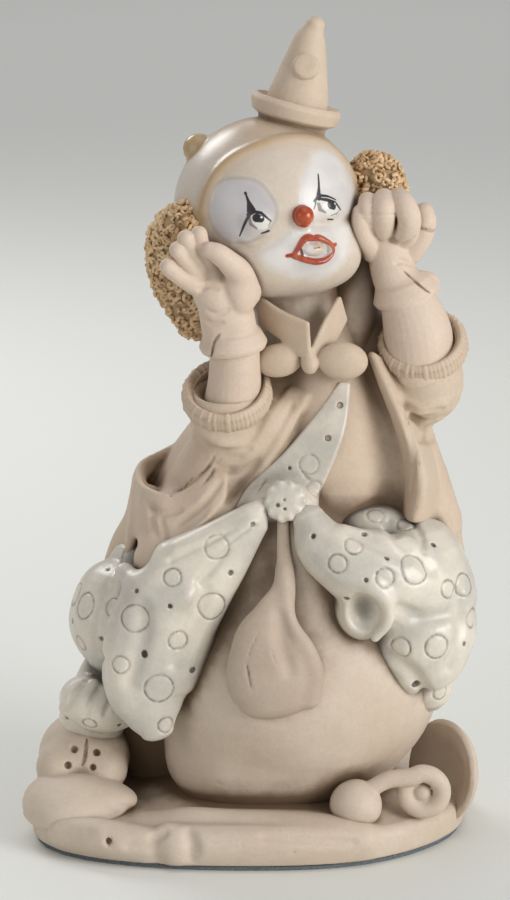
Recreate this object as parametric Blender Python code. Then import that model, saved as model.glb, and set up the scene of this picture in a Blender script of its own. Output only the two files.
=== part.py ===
"""A bisque clown figurine, hands cupped to its ears, sitting on a round seat with a bulb horn at its feet.

The figure, its seat, the horn and the base were cast as one piece. A felt pad is glued underneath.
The viewer faces +Y, +X is to the viewer's right and +Z is up. The origin is on the table, under the middle.
"""

import math

import bmesh
import bpy
import numpy as np
import openvdb
from mathutils import Euler, Vector

# Driving dimensions, in metres
FIGURE_HEIGHT = 0.195
BASE_LENGTH = 0.108
BASE_DEPTH = 0.088
BASE_THICKNESS = 0.0077
FELT_THICKNESS = 0.0010
FELT_INSET = 0.0008
GLUE_GAP = 0.0003

# The free form is drawn in parts, 195 to its height, as a carver scales a model
PART = FIGURE_HEIGHT / 195
SOLE_LEVEL = 9.0
BASE_BOTTOM = FELT_THICKNESS + GLUE_GAP
BASE_TOP = BASE_BOTTOM + BASE_THICKNESS

# The grid that the forms are joined on, the room left round them, and how many facets the cast keeps
CELL = 1.1 * PART
BAND = 5
ROOM = 0.012
CAST_TRIANGLES = 9400

# Colours and roughness: unglazed bisque and grey-blue felt
BISQUE = (0.66, 0.52, 0.41, 1.0)
BISQUE_ROUGHNESS = 0.75
FELT_BLUE = (0.13, 0.16, 0.20, 1.0)
FELT_ROUGHNESS = 0.95
FELT_SIDES = 48


def at(rows):
    """Points of the free form, given in parts above the table, as metres above the base."""
    rows = np.atleast_2d(np.array(rows, float))
    return rows * PART + (0, 0, BASE_TOP - SOLE_LEVEL * PART)


def smooth_line(rows, steps=6):
    """Rows spaced along a smooth curve through the given rows, whatever their columns mean."""
    rows = np.array(rows, float)
    ends = np.vstack([2 * rows[0] - rows[1], rows, 2 * rows[-1] - rows[-2]])
    line = []
    for a, b, c, d in zip(ends, ends[1:], ends[2:], ends[3:]):
        for t in np.arange(steps) / steps:
            line.append(0.5 * (2 * b + (c - a) * t + (2 * a - 5 * b + 4 * c - d) * t**2
                               + (3 * b - a - 3 * c + d) * t**3))
    return np.array(line + [rows[-1]])


def loft(rings, capped=True):
    """Points and faces of a skin over rings of equal size, each closed on itself."""
    rings = np.array(rings)
    count, sides = rings.shape[:2]
    points = rings.reshape(-1, 3)
    near = np.arange(sides)
    far = (near + 1) % sides
    faces = [(i * sides + a, i * sides + b, (i + 1) * sides + b, (i + 1) * sides + a)
             for i in range(count - 1) for a, b in zip(near, far)]
    if capped:
        last = (count - 1) * sides
        points = np.vstack([points, rings[0].mean(0), rings[-1].mean(0)])
        bottom, top = len(points) - 2, len(points) - 1
        faces += [(bottom, b, a, a) for a, b in zip(near, far)]
        faces += [(top, last + a, last + b, last + b) for a, b in zip(near, far)]
    return points, faces


def ball(centre, radii, turn=(0, 0, 0), sides=32):
    """An ellipsoid: its centre and radii in parts, its turn about X, Y and Z in degrees."""
    turned = np.array(Euler([math.radians(a) for a in turn]).to_matrix())
    angles = np.arange(sides) * 2 * math.pi / sides
    rings = []
    for tilt in np.linspace(0.02, math.pi - 0.02, sides // 2):
        ring = np.stack([math.sin(tilt) * np.cos(angles), math.sin(tilt) * np.sin(angles),
                         np.full(sides, -math.cos(tilt))], axis=1)
        rings.append((ring * radii) @ turned.T + centre)
    points, faces = loft(rings)
    return at(points), faces


def limb(rows, flat=1.0, face=(0, -1, 0), sides=24, folds=None):
    """A round-ended rod through rows of x, y, z and half-width, in parts.

    flat is its depth along face, as a share of its width. folds gives a factor on the radius.
    """
    line = smooth_line(rows)
    path, width = line[:, :3], line[:, 3]
    along = np.gradient(path, axis=0)
    along /= np.linalg.norm(along, axis=1)[:, None]
    ends = [(0, -1, reach) for reach in (0.98, 0.85, 0.6, 0.3)]
    middle = [(i, 0, 0.0) for i in range(len(path))]
    ends_after = [(len(path) - 1, 1, reach) for reach in (0.3, 0.6, 0.85, 0.98)]
    angles = np.arange(sides) * 2 * math.pi / sides
    rings = []
    for i, way, reach in ends + middle + ends_after:
        across = np.cross(along[i], face)
        across /= np.linalg.norm(across)
        deep = np.cross(across, along[i])
        radius = width[i] * math.sqrt(1 - reach**2)
        factor = folds(i / (len(path) - 1), angles) if folds else 1.0
        ring = (np.outer(np.cos(angles) * factor, across)
                + np.outer(np.sin(angles) * factor, deep) * flat) * radius
        rings.append(ring + path[i] + along[i] * (way * reach * width[i] * flat))
    points, faces = loft(rings)
    return at(points), faces


def turned(outline, foot, axis, sides=36, closed=False):
    """A shape turned about an axis: outline of radius and height in parts, from a foot point."""
    lean = np.array(Vector((0, 0, 1)).rotation_difference(Vector(axis)).to_matrix())
    angles = np.arange(sides) * 2 * math.pi / sides
    outline = list(outline) + ([outline[0]] if closed else [])
    rings = [np.stack([r * np.cos(angles), r * np.sin(angles), np.full(sides, h)], axis=1)
             @ lean.T + foot for r, h in outline]
    points, faces = loft(rings, capped=not closed)
    return at(points), faces


def sheet(rows, steps=5):
    """An open sheet through rows of points, in parts, smooth both ways. It is added with a swell."""
    lengthwise = np.array([smooth_line(row, steps) for row in rows])
    grid = np.array([smooth_line(lengthwise[:, i], steps) for i in range(lengthwise.shape[1])])
    m, n = grid.shape[:2]
    faces = [(i * n + j, i * n + j + 1, (i + 1) * n + j + 1, (i + 1) * n + j)
             for i in range(m - 1) for j in range(n - 1)]
    return at(grid.reshape(-1, 3)), faces


def smooth_least(a, b, blend):
    """The lesser of two distances, with a fillet as deep as the blend where they meet."""
    if blend <= 0:
        return np.minimum(a, b)
    share = np.clip(0.5 + 0.5 * (b - a) / blend, 0, 1)
    return b + (a - b) * share - blend * share * (1 - share)


def largest(points, faces):
    """The largest connected piece. This fills sealed hollows and drops crumbs."""
    a = np.array([f[i - 1] for f in faces for i in range(len(f))])
    b = np.array([f[i] for f in faces for i in range(len(f))])
    label = np.arange(len(points))
    while True:
        least = label.copy()
        np.minimum.at(least, a, label[b])
        np.minimum.at(least, b, label[a])
        least = least[least]
        if (least == label).all():
            break
        label = least
    kept = label == np.bincount(label).argmax()
    place = np.cumsum(kept) - 1
    return points[kept], [tuple(place[i] for i in f) for f in faces if kept[f[0]]]


class Clay:
    """Modelling clay on a grid: each cell holds its distance to the surface, negative inside."""

    def __init__(self, low, high):
        self.start = np.floor(np.array(low) / CELL).astype(int)
        size = np.ceil(np.array(high) / CELL).astype(int) - self.start
        self.far = BAND * CELL
        self.field = np.full(size, self.far, np.float32)

    def reached(self, form, swell):
        """The cells that a form reaches, and their distance to it once it is swollen, in metres."""
        points, faces = form
        faces = np.array(faces)
        flat = faces[:, 2] == faces[:, 3]
        level = openvdb.FloatGrid.createLevelSetFromPolygons(
            np.ascontiguousarray(points / CELL - self.start, np.float32),
            triangles=np.ascontiguousarray(faces[flat][:, :3], np.uint32),
            quads=np.ascontiguousarray(faces[~flat], np.uint32), halfWidth=BAND)
        low, high = (np.array(c) for c in level.evalActiveVoxelBoundingBox())
        low = np.maximum(low, 0)
        high = np.minimum(high + 1, self.field.shape)
        near = np.empty(high - low, np.float32)
        level.copyToArray(near, ijk=tuple(int(i) for i in low))
        return tuple(slice(a, b) for a, b in zip(low, high)), near * CELL - swell * PART

    def add(self, form, blend=0.0, swell=0.0):
        """Joins a form on, with a fillet as deep as the blend, in parts."""
        cells, near = self.reached(form, swell)
        self.field[cells] = smooth_least(self.field[cells], near, blend * PART)

    def carve(self, form, blend=0.0, swell=0.0):
        """Takes a form away, with its edge rounded by the blend, in parts."""
        cells, near = self.reached(form, swell)
        self.field[cells] = -smooth_least(-self.field[cells], near, blend * PART)

    def front(self, x, z):
        """The depth y at which someone in front first meets the clay at x and z, all in parts."""
        x_m, _, z_m = at((x, 0, z))[0] / CELL - self.start
        column = self.field[int(round(x_m)), :, int(round(z_m))]
        inside = np.flatnonzero(column < 0)
        first = inside[0]
        step = column[first - 1] / (column[first - 1] - column[first])
        return (first - 1 + step + self.start[1]) * CELL / PART

    def skin(self):
        """The surface as points and faces, in metres."""
        grid = openvdb.FloatGrid(self.far)
        grid.copyFromArray(np.ascontiguousarray(self.field), tolerance=0.0)
        points, triangles, quads = grid.convertToPolygons(isovalue=0.0, adaptivity=0.0)
        return largest((points + self.start) * CELL, triangles.tolist() + quads.tolist())


def laid_strip(clay, one, other, lift):
    """A strip between two lines of x and z, laid on the front of the clay at a lift, in parts."""
    rows = []
    for (x_a, z_a), (x_b, z_b) in zip(one, other):
        row = [(x_a + (x_b - x_a) * t, z_a + (z_b - z_a) * t) for t in (0, 0.5, 1)]
        rows.append([(x, clay.front(x, z) + lift, z) for x, z in row])
    return sheet(rows)


# The base: a low slab, a little pulled out at the shoe and drawn in before the horn
BASE_LOBES = ((210, 0.0050, 24), (322, -0.0022, 22), (75, 0.0022, 30), (128, -0.0018, 22))
BASE_POWER = 2.4
BASE_FOOT = 0.0009
BASE_ROUND = 0.0026


def base_ring(inset, height, sides=96):
    """The base's outline at a height, in metres, drawn in by the inset."""
    ring = []
    for i in range(sides):
        angle = 2 * math.pi * i / sides
        c, s = math.cos(angle), math.sin(angle)
        reach = (abs(c) ** BASE_POWER + abs(s) ** BASE_POWER) ** (-1 / BASE_POWER)
        lobes = sum(size * math.exp(-((math.degrees(angle) - where) / width) ** 2)
                    for where, size, width in BASE_LOBES)
        ring.append((c * (reach * BASE_LENGTH / 2 + lobes - inset),
                     s * (reach * BASE_DEPTH / 2 + lobes - inset), height))
    return ring


def below_base():
    """All that lies under the slab's flat underside, as a cutter."""
    return loft([base_ring(-ROOM, -2 * ROOM), base_ring(-ROOM, BASE_BOTTOM)])


def base_slab():
    """The slab with its foot drawn in a little and its upper edge rounded over."""
    rings = [base_ring(BASE_FOOT, BASE_BOTTOM),
             base_ring(BASE_FOOT / 3, BASE_BOTTOM + BASE_THICKNESS * 0.3)]
    for step in range(5):
        turn = math.radians(90 * step / 4)
        rings.append(base_ring(BASE_ROUND * (1 - math.cos(turn)),
                               BASE_TOP - BASE_ROUND * (1 - math.sin(turn))))
    return loft(rings)


def add_base(clay):
    """The slab, with the ground heaped up softly round what stands on it."""
    clay.add(base_slab())
    clay.add(limb([(-47, -30, 6, 4), (-36, -36, 6.2, 4.6), (-27, -38.6, 5.6, 4)], face=(0, 0, 1)), 2)
    clay.add(limb([(-19, -39.4, 5.8, 5), (-4, -40.5, 6.4, 4.6), (12, -39.5, 6.2, 4.6),
                   (26, -36.5, 6.0, 4.4)], face=(0, 0, 1)), 2)
    clay.add(limb([(-27, -26, 7.6, 3), (-12, -31, 8, 3.4), (10, -34, 8.4, 3), (22, -36, 7.6, 3)],
                  face=(0, 0, 1)), 3)
    clay.add(ball((-20, 10, 8), (24, 20, 4)), 3)


# The shoe on the viewer's left: a domed toe cap on a thick sole, and a laced upper behind it
def add_shoe(clay):
    clay.add(turned([(12.4, 0), (13.4, 1.2), (13.0, 3)], (-44.6, -18, 6.0), (0, 0, 1)), 0.5)
    clay.add(ball((-43.2, -5, 18), (11.6, 12.5, 11.5)), 2)
    clay.add(ball((-44.6, -18, 9), (13.2, 13.4, 7.4), (5, 0, -8)), 0.6)
    clay.add(ball((-36, -20, 12.4), (5.6, 5.4, 2.6), (0, 12, 0)), 1.0)


# The round seat between the legs, and the drop-shaped tail of cloth that lies on its front
def add_seat(clay):
    clay.add(ball((10.6, -4, 40), (36.2, 34, 32.2), sides=48), 1.5)
    clay.add(limb([(11, -26, 82, 5), (14, -29, 73, 7.5), (15, -29, 63, 8.5)]), 2)


def add_tail(clay):
    clay.carve(ball((2.4, -34, 73), (4.8, 9, 7.2), (0, -10, 0)), 1.5)
    clay.add(ball((3.4, -27.5, 68), (4.4, 4, 5.6)), 1.0)
    clay.add(limb([(7.8, -26, 86, 1.8), (8.2, -30, 79, 1.7), (8.4, -33, 69.5, 3),
                   (7.6, -35.2, 62, 7.4), (6.2, -36.8, 55, 11.2), (5.4, -37.4, 48, 12.7),
                   (5.4, -37.6, 43.5, 10.5)], flat=0.5), 0.8)


# The trousers, in two puffed halves that part over the seat
def add_trousers(clay):
    clay.add(ball((9, 14, 60), (39, 25, 20)), 4)
    clay.add(limb([(-24, 10, 46, 16), (-26, 9, 30, 15), (-25, 8, 14, 11)]), 5)
    clay.add(limb([(-26, -6, 74, 10), (-31, -8, 62, 14.5), (-31.5, -9, 52, 14.8), (-31, -10, 42, 9)],
                  flat=1.25), 2)
    clay.add(ball((36, 6, 62), (17, 24, 22)), 4)
    clay.add(limb([(40, -16, 66, 13.5), (41.5, -15, 54, 14.6), (43.5, -13.5, 46, 11.4),
                   (43.8, -13, 41, 7.5)], flat=1.3), 2)
    clay.add(ball((29, -25, 62), (12.5, 13, 10.5)), 2)
    clay.add(limb([(13, -28, 84.5, 4), (19.5, -30, 80, 6.6), (27, -31, 75.5, 8.8),
                   (35, -28, 70, 12), (42, -20, 62, 14)], flat=0.85), 1.5)


def add_left_leg(clay):
    """The trouser flap hanging over the front of the leg, and the puffed cuff over the shoe."""
    clay.add(limb([(-36, -8, 40, 8), (-41, -6, 28, 8.5)]), 2)
    clay.add(ball((-38.6, -15, 34.8), (10.4, 10, 7), (0, 12, 0)), 1.0)
    clay.add(limb([(0, -27.5, 84, 3.6), (-8, -28, 75.5, 7.4), (-15, -28, 68.5, 10.6),
                   (-20.3, -27.5, 62, 12.6), (-23.4, -27, 55, 13.2), (-25.4, -27, 48, 12.8),
                   (-26.2, -27.5, 41, 10.6), (-25.2, -28.5, 35.5, 7.2), (-24, -29, 31.5, 4.2)],
                  flat=0.55), 0.8)


def add_right_fold(clay):
    """Where the right half's hem is rolled outwards over a hollow."""
    clay.carve(ball((25.2, -40.6, 63.8), (5.8, 8.5, 7.2), (0, -12, 0)), 1.2)
    clay.add(limb([(17.4, -34, 73, 1.5), (23.5, -36.6, 72, 1.7), (29.2, -37.6, 69.4, 1.8),
                   (32, -37.4, 64.6, 1.8), (30.8, -36, 59.4, 1.7), (27.4, -34, 55, 1.4)]), 1.2)


# The shirt over the belly, the jacket and its lapels
def add_torso(clay):
    clay.add(limb([(14, 3, 118, 15), (12, 3, 104, 22), (9, 3, 92, 28.5), (6, 4, 80, 33)],
                  flat=0.8, sides=40), 3)
    clay.add(limb([(14, 2, 127, 10.5), (26, 4, 124, 9), (34, 2, 118, 8)]), 3)
    clay.carve(limb([(27, -24, 118, 3), (28, -25, 106, 9.5), (27, -26, 93, 13)], flat=0.9), 1.0)
    clay.add(limb([(17, -1, 120, 10.5), (19.5, -3.5, 106, 14.5), (19, -5, 92, 16.2)], flat=0.95), 1.5)
    clay.add(limb([(34, -2, 112, 6), (38, -4, 100, 6.5), (41, -3, 90, 7), (44, -2, 78, 8)]), 3)
    clay.add(sheet([
        [(29.4, -7, 121), (28.8, -14, 122.5), (33, -9, 119)],
        [(32, -6, 110), (32, -17, 115.8), (37, -9, 112)],
        [(33.4, -5, 104), (36.2, -20, 106.5), (40, -9, 104)],
        [(34.6, -5, 96), (39.4, -21.4, 98.2), (43, -9, 97)],
        [(35, -5, 89), (40.4, -21.6, 90.7), (44.6, -9, 89)],
        [(35, -6, 82), (39, -21, 83.2), (45, -9, 81)]]), 1.0, swell=1.0)
    clay.add(limb([(45.6, 0, 91, 2.2), (47, 0, 84, 2.6), (48.6, 0, 76, 3), (50, 0, 68, 3)]), 1.5)


def add_jacket_back(clay):
    """The jacket's back, and its skirt spread round behind over the seat of the trousers."""
    clay.add(limb([(12, 12, 118, 12), (11, 16, 104, 18), (8, 20, 90, 25), (6, 23, 78, 28)],
                  flat=0.5), 4)
    clay.add(sheet([
        [(-1, 6, 119), (5, 12, 121), (13, 14, 121), (21, 12.5, 120), (29, 7, 118)],
        [(-11, 5, 105), (-2, 16, 105), (11, 20.5, 105), (25, 17, 105), (38, 5, 105)],
        [(-18, 5, 93), (-7, 21, 93), (10, 27, 93), (28, 23, 93), (43, 5, 93)],
        [(-25, 8, 81), (-10, 28, 81), (10, 34, 81), (31, 29, 81), (47.5, 6, 81)],
        [(-30, 11, 69), (-12, 34, 69), (10, 40, 69), (34, 34, 69), (50.5, 8, 69)]]), 2, swell=1.3)
    clay.add(ball((10, 14, 30), (30, 22, 20)), 4)


def add_pouch(clay):
    """The jacket's side, flared out and standing open, with a rolled rim."""
    clay.add(limb([(2, -8, 104, 11.5), (-8, -10, 94, 10.5), (-14, -8, 84, 9.5), (-18, -6, 76, 9)],
                  flat=0.9), 3)
    clay.add(sheet([
        [(-6.6, -17, 97.9), (-10.3, -18.5, 95), (-14.2, -19.5, 91.2), (-18.9, -19.5, 88),
         (-23.3, -18, 88.3), (-27.6, -14, 89.4), (-29, -8, 90.9), (-28, -2, 92.9),
         (-23.3, 2.5, 94.6), (-17.3, 4, 97.4)],
        [(-7.6, -21, 92), (-11.4, -22, 89.4), (-15, -22, 86.2), (-19.2, -22, 83.6),
         (-23.4, -20.5, 83.4), (-27.8, -15.5, 84), (-29.2, -8, 85), (-28.6, 0, 86.5),
         (-24, 5.5, 87), (-17, 8, 88)],
        [(-8.1, -24, 86.6), (-12.2, -24.5, 84), (-15.9, -24.5, 81), (-19.8, -24, 79),
         (-24, -22.5, 77.6), (-28, -17, 77.6), (-30, -8, 78.5), (-29.6, 2, 79),
         (-25, 8.5, 79.5), (-18, 12, 80)]]), 0.8, swell=1.05)
    clay.add(limb([(-11, -17, 83, 8), (-19, -12, 80, 9)]), 2)
    clay.add(limb([(-2, -21, 81, 6), (-12, -21, 75, 7.5), (-22, -19, 72, 8)]), 2)


def add_front_panel(clay):
    """The jacket's left front, lying over the shirt down to the pouch."""
    edge = [(8.8, 113.4), (6.2, 107.4), (2.0, 98.5), (-2.8, 93.4), (-7.4, 89.6)]
    hem = [(18.3, 111.4), (13.9, 104.7), (7.3, 98.1), (0.7, 92.9), (-6.4, 87.4)]
    clay.add(laid_strip(clay, edge, hem, -0.3), 0.5, swell=1.1)


# Arms: a sleeve that ends in a thick ribbed cuff, with the gloved forearm standing in it
CUFF_OUTLINE = ((7.8, -4.0), (10.2, -4.2), (11.4, -1.8), (11.2, 1.2), (9.8, 2.8), (8.0, 1.6))
GLOVE_OUTLINE = ((5.2, 3.6), (7.0, 2.2), (8.4, -0.8), (7.8, -2.2), (6.2, -1.6))


def add_fingers(clay, fingers, blend=0.3):
    for rows in fingers:
        clay.add(limb(rows, face=(0.3, -0.2, 1), sides=16), blend)


def add_left_arm(clay):
    clay.add(limb([(5, 2, 116, 9), (-3, -5, 106, 9.4), (-6.6, -11.5, 105.5, 9.2),
                   (-6.9, -13.5, 110.5, 9)], face=(1, 0, 0.2)), 2)
    clay.add(turned(CUFF_OUTLINE, (-6.9, -14, 113.3), (-0.08, -0.58, 0.81), closed=True), 0.6)
    clay.add(limb([(-5.6, -13.5, 109, 6.2), (-4.6, -15, 117, 5.8), (-5.4, -17.4, 128, 5.6),
                   (-6.4, -18.8, 134, 5.6)]), 0.4)
    clay.add(turned(GLOVE_OUTLINE, (-5.8, -17, 127.2), (-0.1, -0.15, 1), closed=True), 0.6)
    clay.add(ball((-7.4, -19.6, 139.4), (6.6, 4.8, 5.8)), 1.0)
    clay.add(ball((-2.4, -21.5, 141.4), (4.4, 4.4, 7.4), (0, -12, 0)), 1.0)
    add_fingers(clay, [
        [(-2.6, -22, 143.5, 4.0), (-5.5, -24.8, 148.4, 2.9), (-8.9, -26, 150.8, 2.5),
         (-11.2, -26, 151.6, 2.1)],
        [(-11.4, -19.6, 143.4, 3.2), (-13.0, -22.5, 150.6, 2.6), (-14.6, -25.5, 153.2, 2.2)],
        [(-13.0, -20.4, 143.4, 3.0), (-16.0, -23.2, 150.2, 2.6), (-17.3, -26, 152.0, 2.2)],
        [(-13.8, -20.6, 142.4, 3.0), (-18.0, -23, 147.0, 2.6), (-19.4, -25.6, 149.0, 2.2)],
        [(-11.4, -20.4, 139.6, 3.2), (-16.4, -22, 141.8, 2.8), (-20.4, -24, 145.2, 2.3)],
    ])


def add_right_arm(clay):
    clay.add(limb([(28, 3, 119, 9.5), (38, -2, 112.5, 9.4), (42, -7, 114, 9.4),
                   (41.4, -8, 120, 9.2)], face=(1, 0, 0.2)), 2)
    clay.add(turned(CUFF_OUTLINE, (41.2, -9, 124.6), (-0.12, -0.6, 0.79), closed=True), 0.6)
    clay.add(limb([(41, -8.6, 121, 7.6), (39.6, -8.6, 129, 7.8), (37, -8, 136.4, 6.4),
                   (34.6, -7.4, 141.5, 5.4), (33.2, -7, 147, 5.2)]), 0.4)
    clay.add(turned(GLOVE_OUTLINE, (36.8, -7.6, 137.6), (-0.3, -0.05, 0.95), closed=True), 0.6)
    clay.add(ball((43, -5.6, 139.4), (3.2, 2.4, 3.4)), 0.8)
    clay.add(ball((33.8, -6.6, 150), (5.6, 4.4, 4.4)), 1.0)
    add_fingers(clay, [
        [(30.2, -8.6, 149.6, 3.0), (27, -11, 153.4, 2.7), (25.8, -12, 157.4, 2.3)],
        [(30.8, -8, 151.6, 2.8), (28.2, -10.5, 156.6, 2.5), (27.8, -13.6, 159.6, 2.2)],
        [(32.6, -6.6, 151.6, 2.8), (31, -9, 158, 2.6), (30.6, -13.2, 160.4, 2.3)],
        [(35.2, -6.6, 151.4, 2.8), (35.4, -8.6, 158, 2.6), (34.9, -13, 160.2, 2.3)],
        [(37, -6.4, 150.6, 2.9), (40.4, -7.4, 154.6, 2.6), (40.8, -10.6, 157.8, 2.2)],
    ])


# Head: a round ball of a head, tipped back and turned, with full cheeks and a pouting mouth
HEAD = (2.9, -2.0, 156.8)
HEAD_RADIUS = 23.0


def add_head(clay):
    clay.add(limb([(12, 1, 124, 11.5), (10, 0, 134, 11), (7, -2, 142, 12)]), 2)
    clay.add(ball(HEAD, (HEAD_RADIUS, HEAD_RADIUS, HEAD_RADIUS), sides=48), 1.5)
    clay.add(ball((17.4, -9.0, 147.6), (8.8, 8.8, 8.8)), 4)
    clay.add(ball((11.6, -12.6, 147.4), (9.2, 8.6, 8.8)), 4)
    clay.add(ball((3.6, -13.4, 147.0), (8.6, 8.6, 8.0)), 4)
    clay.add(ball((13.6, -19.2, 150.4), (5.6, 4.2, 5.0), (12, 0, 0)), 3)
    clay.add(ball((13.8, -22.6, 150.6), (4.2, 2.6, 3.6), (10, 12, 0)), 0.8)
    clay.add(ball((11.4, -23.8, 159.2), (2.6, 2.6, 2.6)), 0.3)
    clay.add(ball((-13.6, -1.5, 171.6), (3.4, 3.4, 3.6)), 1.2)


def add_hair(clay):
    """The two tufts of curls, here as lumpy masses."""
    def lumps(share, angles):
        return 1 + 0.07 * np.sin(3 * angles + 14 * share) * math.sin(40 * share)

    clay.add(limb([(-15.5, 3, 157, 6), (-19.4, 3, 149, 7.2), (-18.0, 3, 138, 8.2), (-12.6, 3, 129, 6)],
                  flat=1.1, folds=lumps), 1.0)
    clay.add(limb([(26, 1, 167.4, 5), (31, 1, 165.8, 6.2), (32.4, 2, 159, 6.4), (31, 4, 149, 7),
                   (27.5, 5, 139, 7)], folds=lumps), 1.0)


# Hat: a small cone with a rolled brim, its tip nodding to the side
def add_hat(clay):
    clay.add(turned([(7.6, -1.2), (10.6, 0.4), (11.4, 3.2), (10.4, 4.6), (8.6, 3.2), (5, 2.0)],
                    (9.4, 0, 179.2), (0.24, 0.02, 0.97), closed=True), 0.4)
    clay.add(limb([(8.8, 0, 177, 8.6), (10.6, 0, 184.4, 7.5), (12.2, -0.6, 192.5, 5.5),
                   (13.4, -1.4, 198.6, 3.9), (14.6, -2, 202, 2.4)]), 0.8)
    clay.add(turned([(3.2, -2), (3.3, 0), (2.8, 0.7)], (12.3, -6.2, 192.6), (0.0, -0.95, 0.3)), 0.3)


# Collar wings and bow tie
def add_collar(clay):
    clay.add(sheet([[(1, -14, 137), (6, -17, 134), (12.6, -19.5, 131.4)],
                    [(1.5, -11, 130), (7, -15.5, 127), (13.2, -18.5, 122)]]), 0.4, swell=0.8)
    clay.add(sheet([[(20.5, -13, 136.4), (17, -16, 131), (13.6, -18, 124)],
                    [(22, -11, 131), (19, -13.5, 126), (14.4, -16.5, 120.6)]]), 0.4, swell=0.8)


def add_bow(clay):
    clay.add(ball((21.6, -17.6, 122.4), (6.2, 4.0, 4.9), (0, 4, 0)), 0.4)
    clay.add(ball((5.8, -15.8, 122.6), (6.6, 4.0, 4.8), (0, -8, 0)), 0.4)
    clay.add(ball((13.4, -17.6, 121.8), (2.6, 2.4, 3.0)), 0.5)


# The polka-dot bib between the jacket's edge and the belly, and its rosette button
def add_bib(clay):
    left = [(21.0, 115.3), (14.4, 106.5), (7.8, 98.9), (-0.4, 91.6), (-4.0, 86.6)]
    right = [(22.7, 115.3), (21.7, 106.7), (19.2, 98.9), (15.8, 91.1), (12.6, 84.6)]
    clay.add(laid_strip(clay, left, right, 0.1), 0.4, swell=0.9)
    clay.add(ball((6.6, -22, 87), (9, 5.6, 5.6)), 2.5)
    clay.add(ball((7.3, -27, 89.8), (5.0, 2.8, 4.8)), 0.4)


# The bulb horn: rubber bulb, coiled tube and flared bell
def add_horn(clay):
    clay.add(ball((24.8, -31, 13.2), (6.5, 6.5, 6.4)), 0.3)
    tube = [(28.5, -31, 17.4, 2.1), (33, -30.6, 19.6, 2.2)]
    for step in range(13):
        turn = math.radians(125 - 30 * step)
        reach = 5.2 - 0.1 * step
        tube.append((41.3 + reach * math.cos(turn), -30.4 + 0.2 * step, 15.9 + reach * math.sin(turn),
                     2.3))
    clay.add(limb(tube, face=(0, -1, 0.01), sides=16), 0.3)
    clay.add(ball((41.3, -28.6, 15.8), (2.4, 2.4, 2.4)), 0.3)
    clay.add(turned([(2.4, -8), (3.4, -6.4), (7, -4.2), (12.0, -1.8), (13.3, 0.2), (12.2, 1.2),
                     (8.6, -0.2), (5, -2.2), (0.5, -3.4)], (47.4, -8, 14.8), (-0.80, -0.57, 0.15)),
             0.4)


def cast():
    """The whole figure with its base, as one skin."""
    reach = BASE_LENGTH / 2 + ROOM
    depth = BASE_DEPTH / 2 + ROOM
    clay = Clay((-reach, -depth, -ROOM / 2), (reach, depth, BASE_TOP + FIGURE_HEIGHT + ROOM))
    add_base(clay)
    add_seat(clay)
    add_trousers(clay)
    add_jacket_back(clay)
    add_torso(clay)
    add_pouch(clay)
    add_tail(clay)
    add_right_fold(clay)
    add_left_leg(clay)
    add_shoe(clay)
    add_head(clay)
    add_hair(clay)
    add_hat(clay)
    add_collar(clay)
    add_front_panel(clay)
    add_bib(clay)
    add_left_arm(clay)
    add_right_arm(clay)
    add_bow(clay)
    add_horn(clay)
    clay.carve(below_base())
    points, faces = clay.skin()
    points[points[:, 2] < BASE_BOTTOM + 0.1 * PART, 2] = BASE_BOTTOM
    return points, faces


def material(name, colour, roughness):
    made = bpy.data.materials.new(name)
    made.use_nodes = True
    shader = made.node_tree.nodes["Principled BSDF"]
    shader.inputs["Base Color"].default_value = colour
    shader.inputs["Roughness"].default_value = roughness
    shader.inputs["Metallic"].default_value = 0.0
    return made


def placed(name, points, faces, finish):
    """A smooth-shaded object made of points and faces, in metres."""
    mesh = bpy.data.meshes.new(name)
    mesh.from_pydata([tuple(p) for p in points], [], [tuple(dict.fromkeys(f)) for f in faces])
    mesh.materials.append(finish)
    body = bmesh.new()
    body.from_mesh(mesh)
    bmesh.ops.recalc_face_normals(body, faces=body.faces)
    body.to_mesh(mesh)
    body.free()
    mesh.shade_smooth()
    made = bpy.data.objects.new(name, mesh)
    bpy.context.scene.collection.objects.link(made)
    return made


def make_clown():
    points, faces = cast()
    clown = placed("clown_figure", points, faces, material("bisque", BISQUE, BISQUE_ROUGHNESS))
    fewer = clown.modifiers.new("fewer_facets", "DECIMATE")
    fewer.ratio = CAST_TRIANGLES / sum(len(f) - 2 for f in faces)
    fewer.use_collapse_triangulate = True


def make_felt_pad():
    inset = FELT_INSET + BASE_FOOT
    points, faces = loft([base_ring(inset, 0.0, FELT_SIDES), base_ring(inset, FELT_THICKNESS, FELT_SIDES)])
    placed("felt_pad", points, faces, material("felt", FELT_BLUE, FELT_ROUGHNESS))


for old in list(bpy.data.objects):
    bpy.data.objects.remove(old)
make_clown()
make_felt_pad()
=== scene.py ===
"""A clown figurine cast in tinted bisque, seated on a round ball, dressed for a render."""

import math

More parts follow.
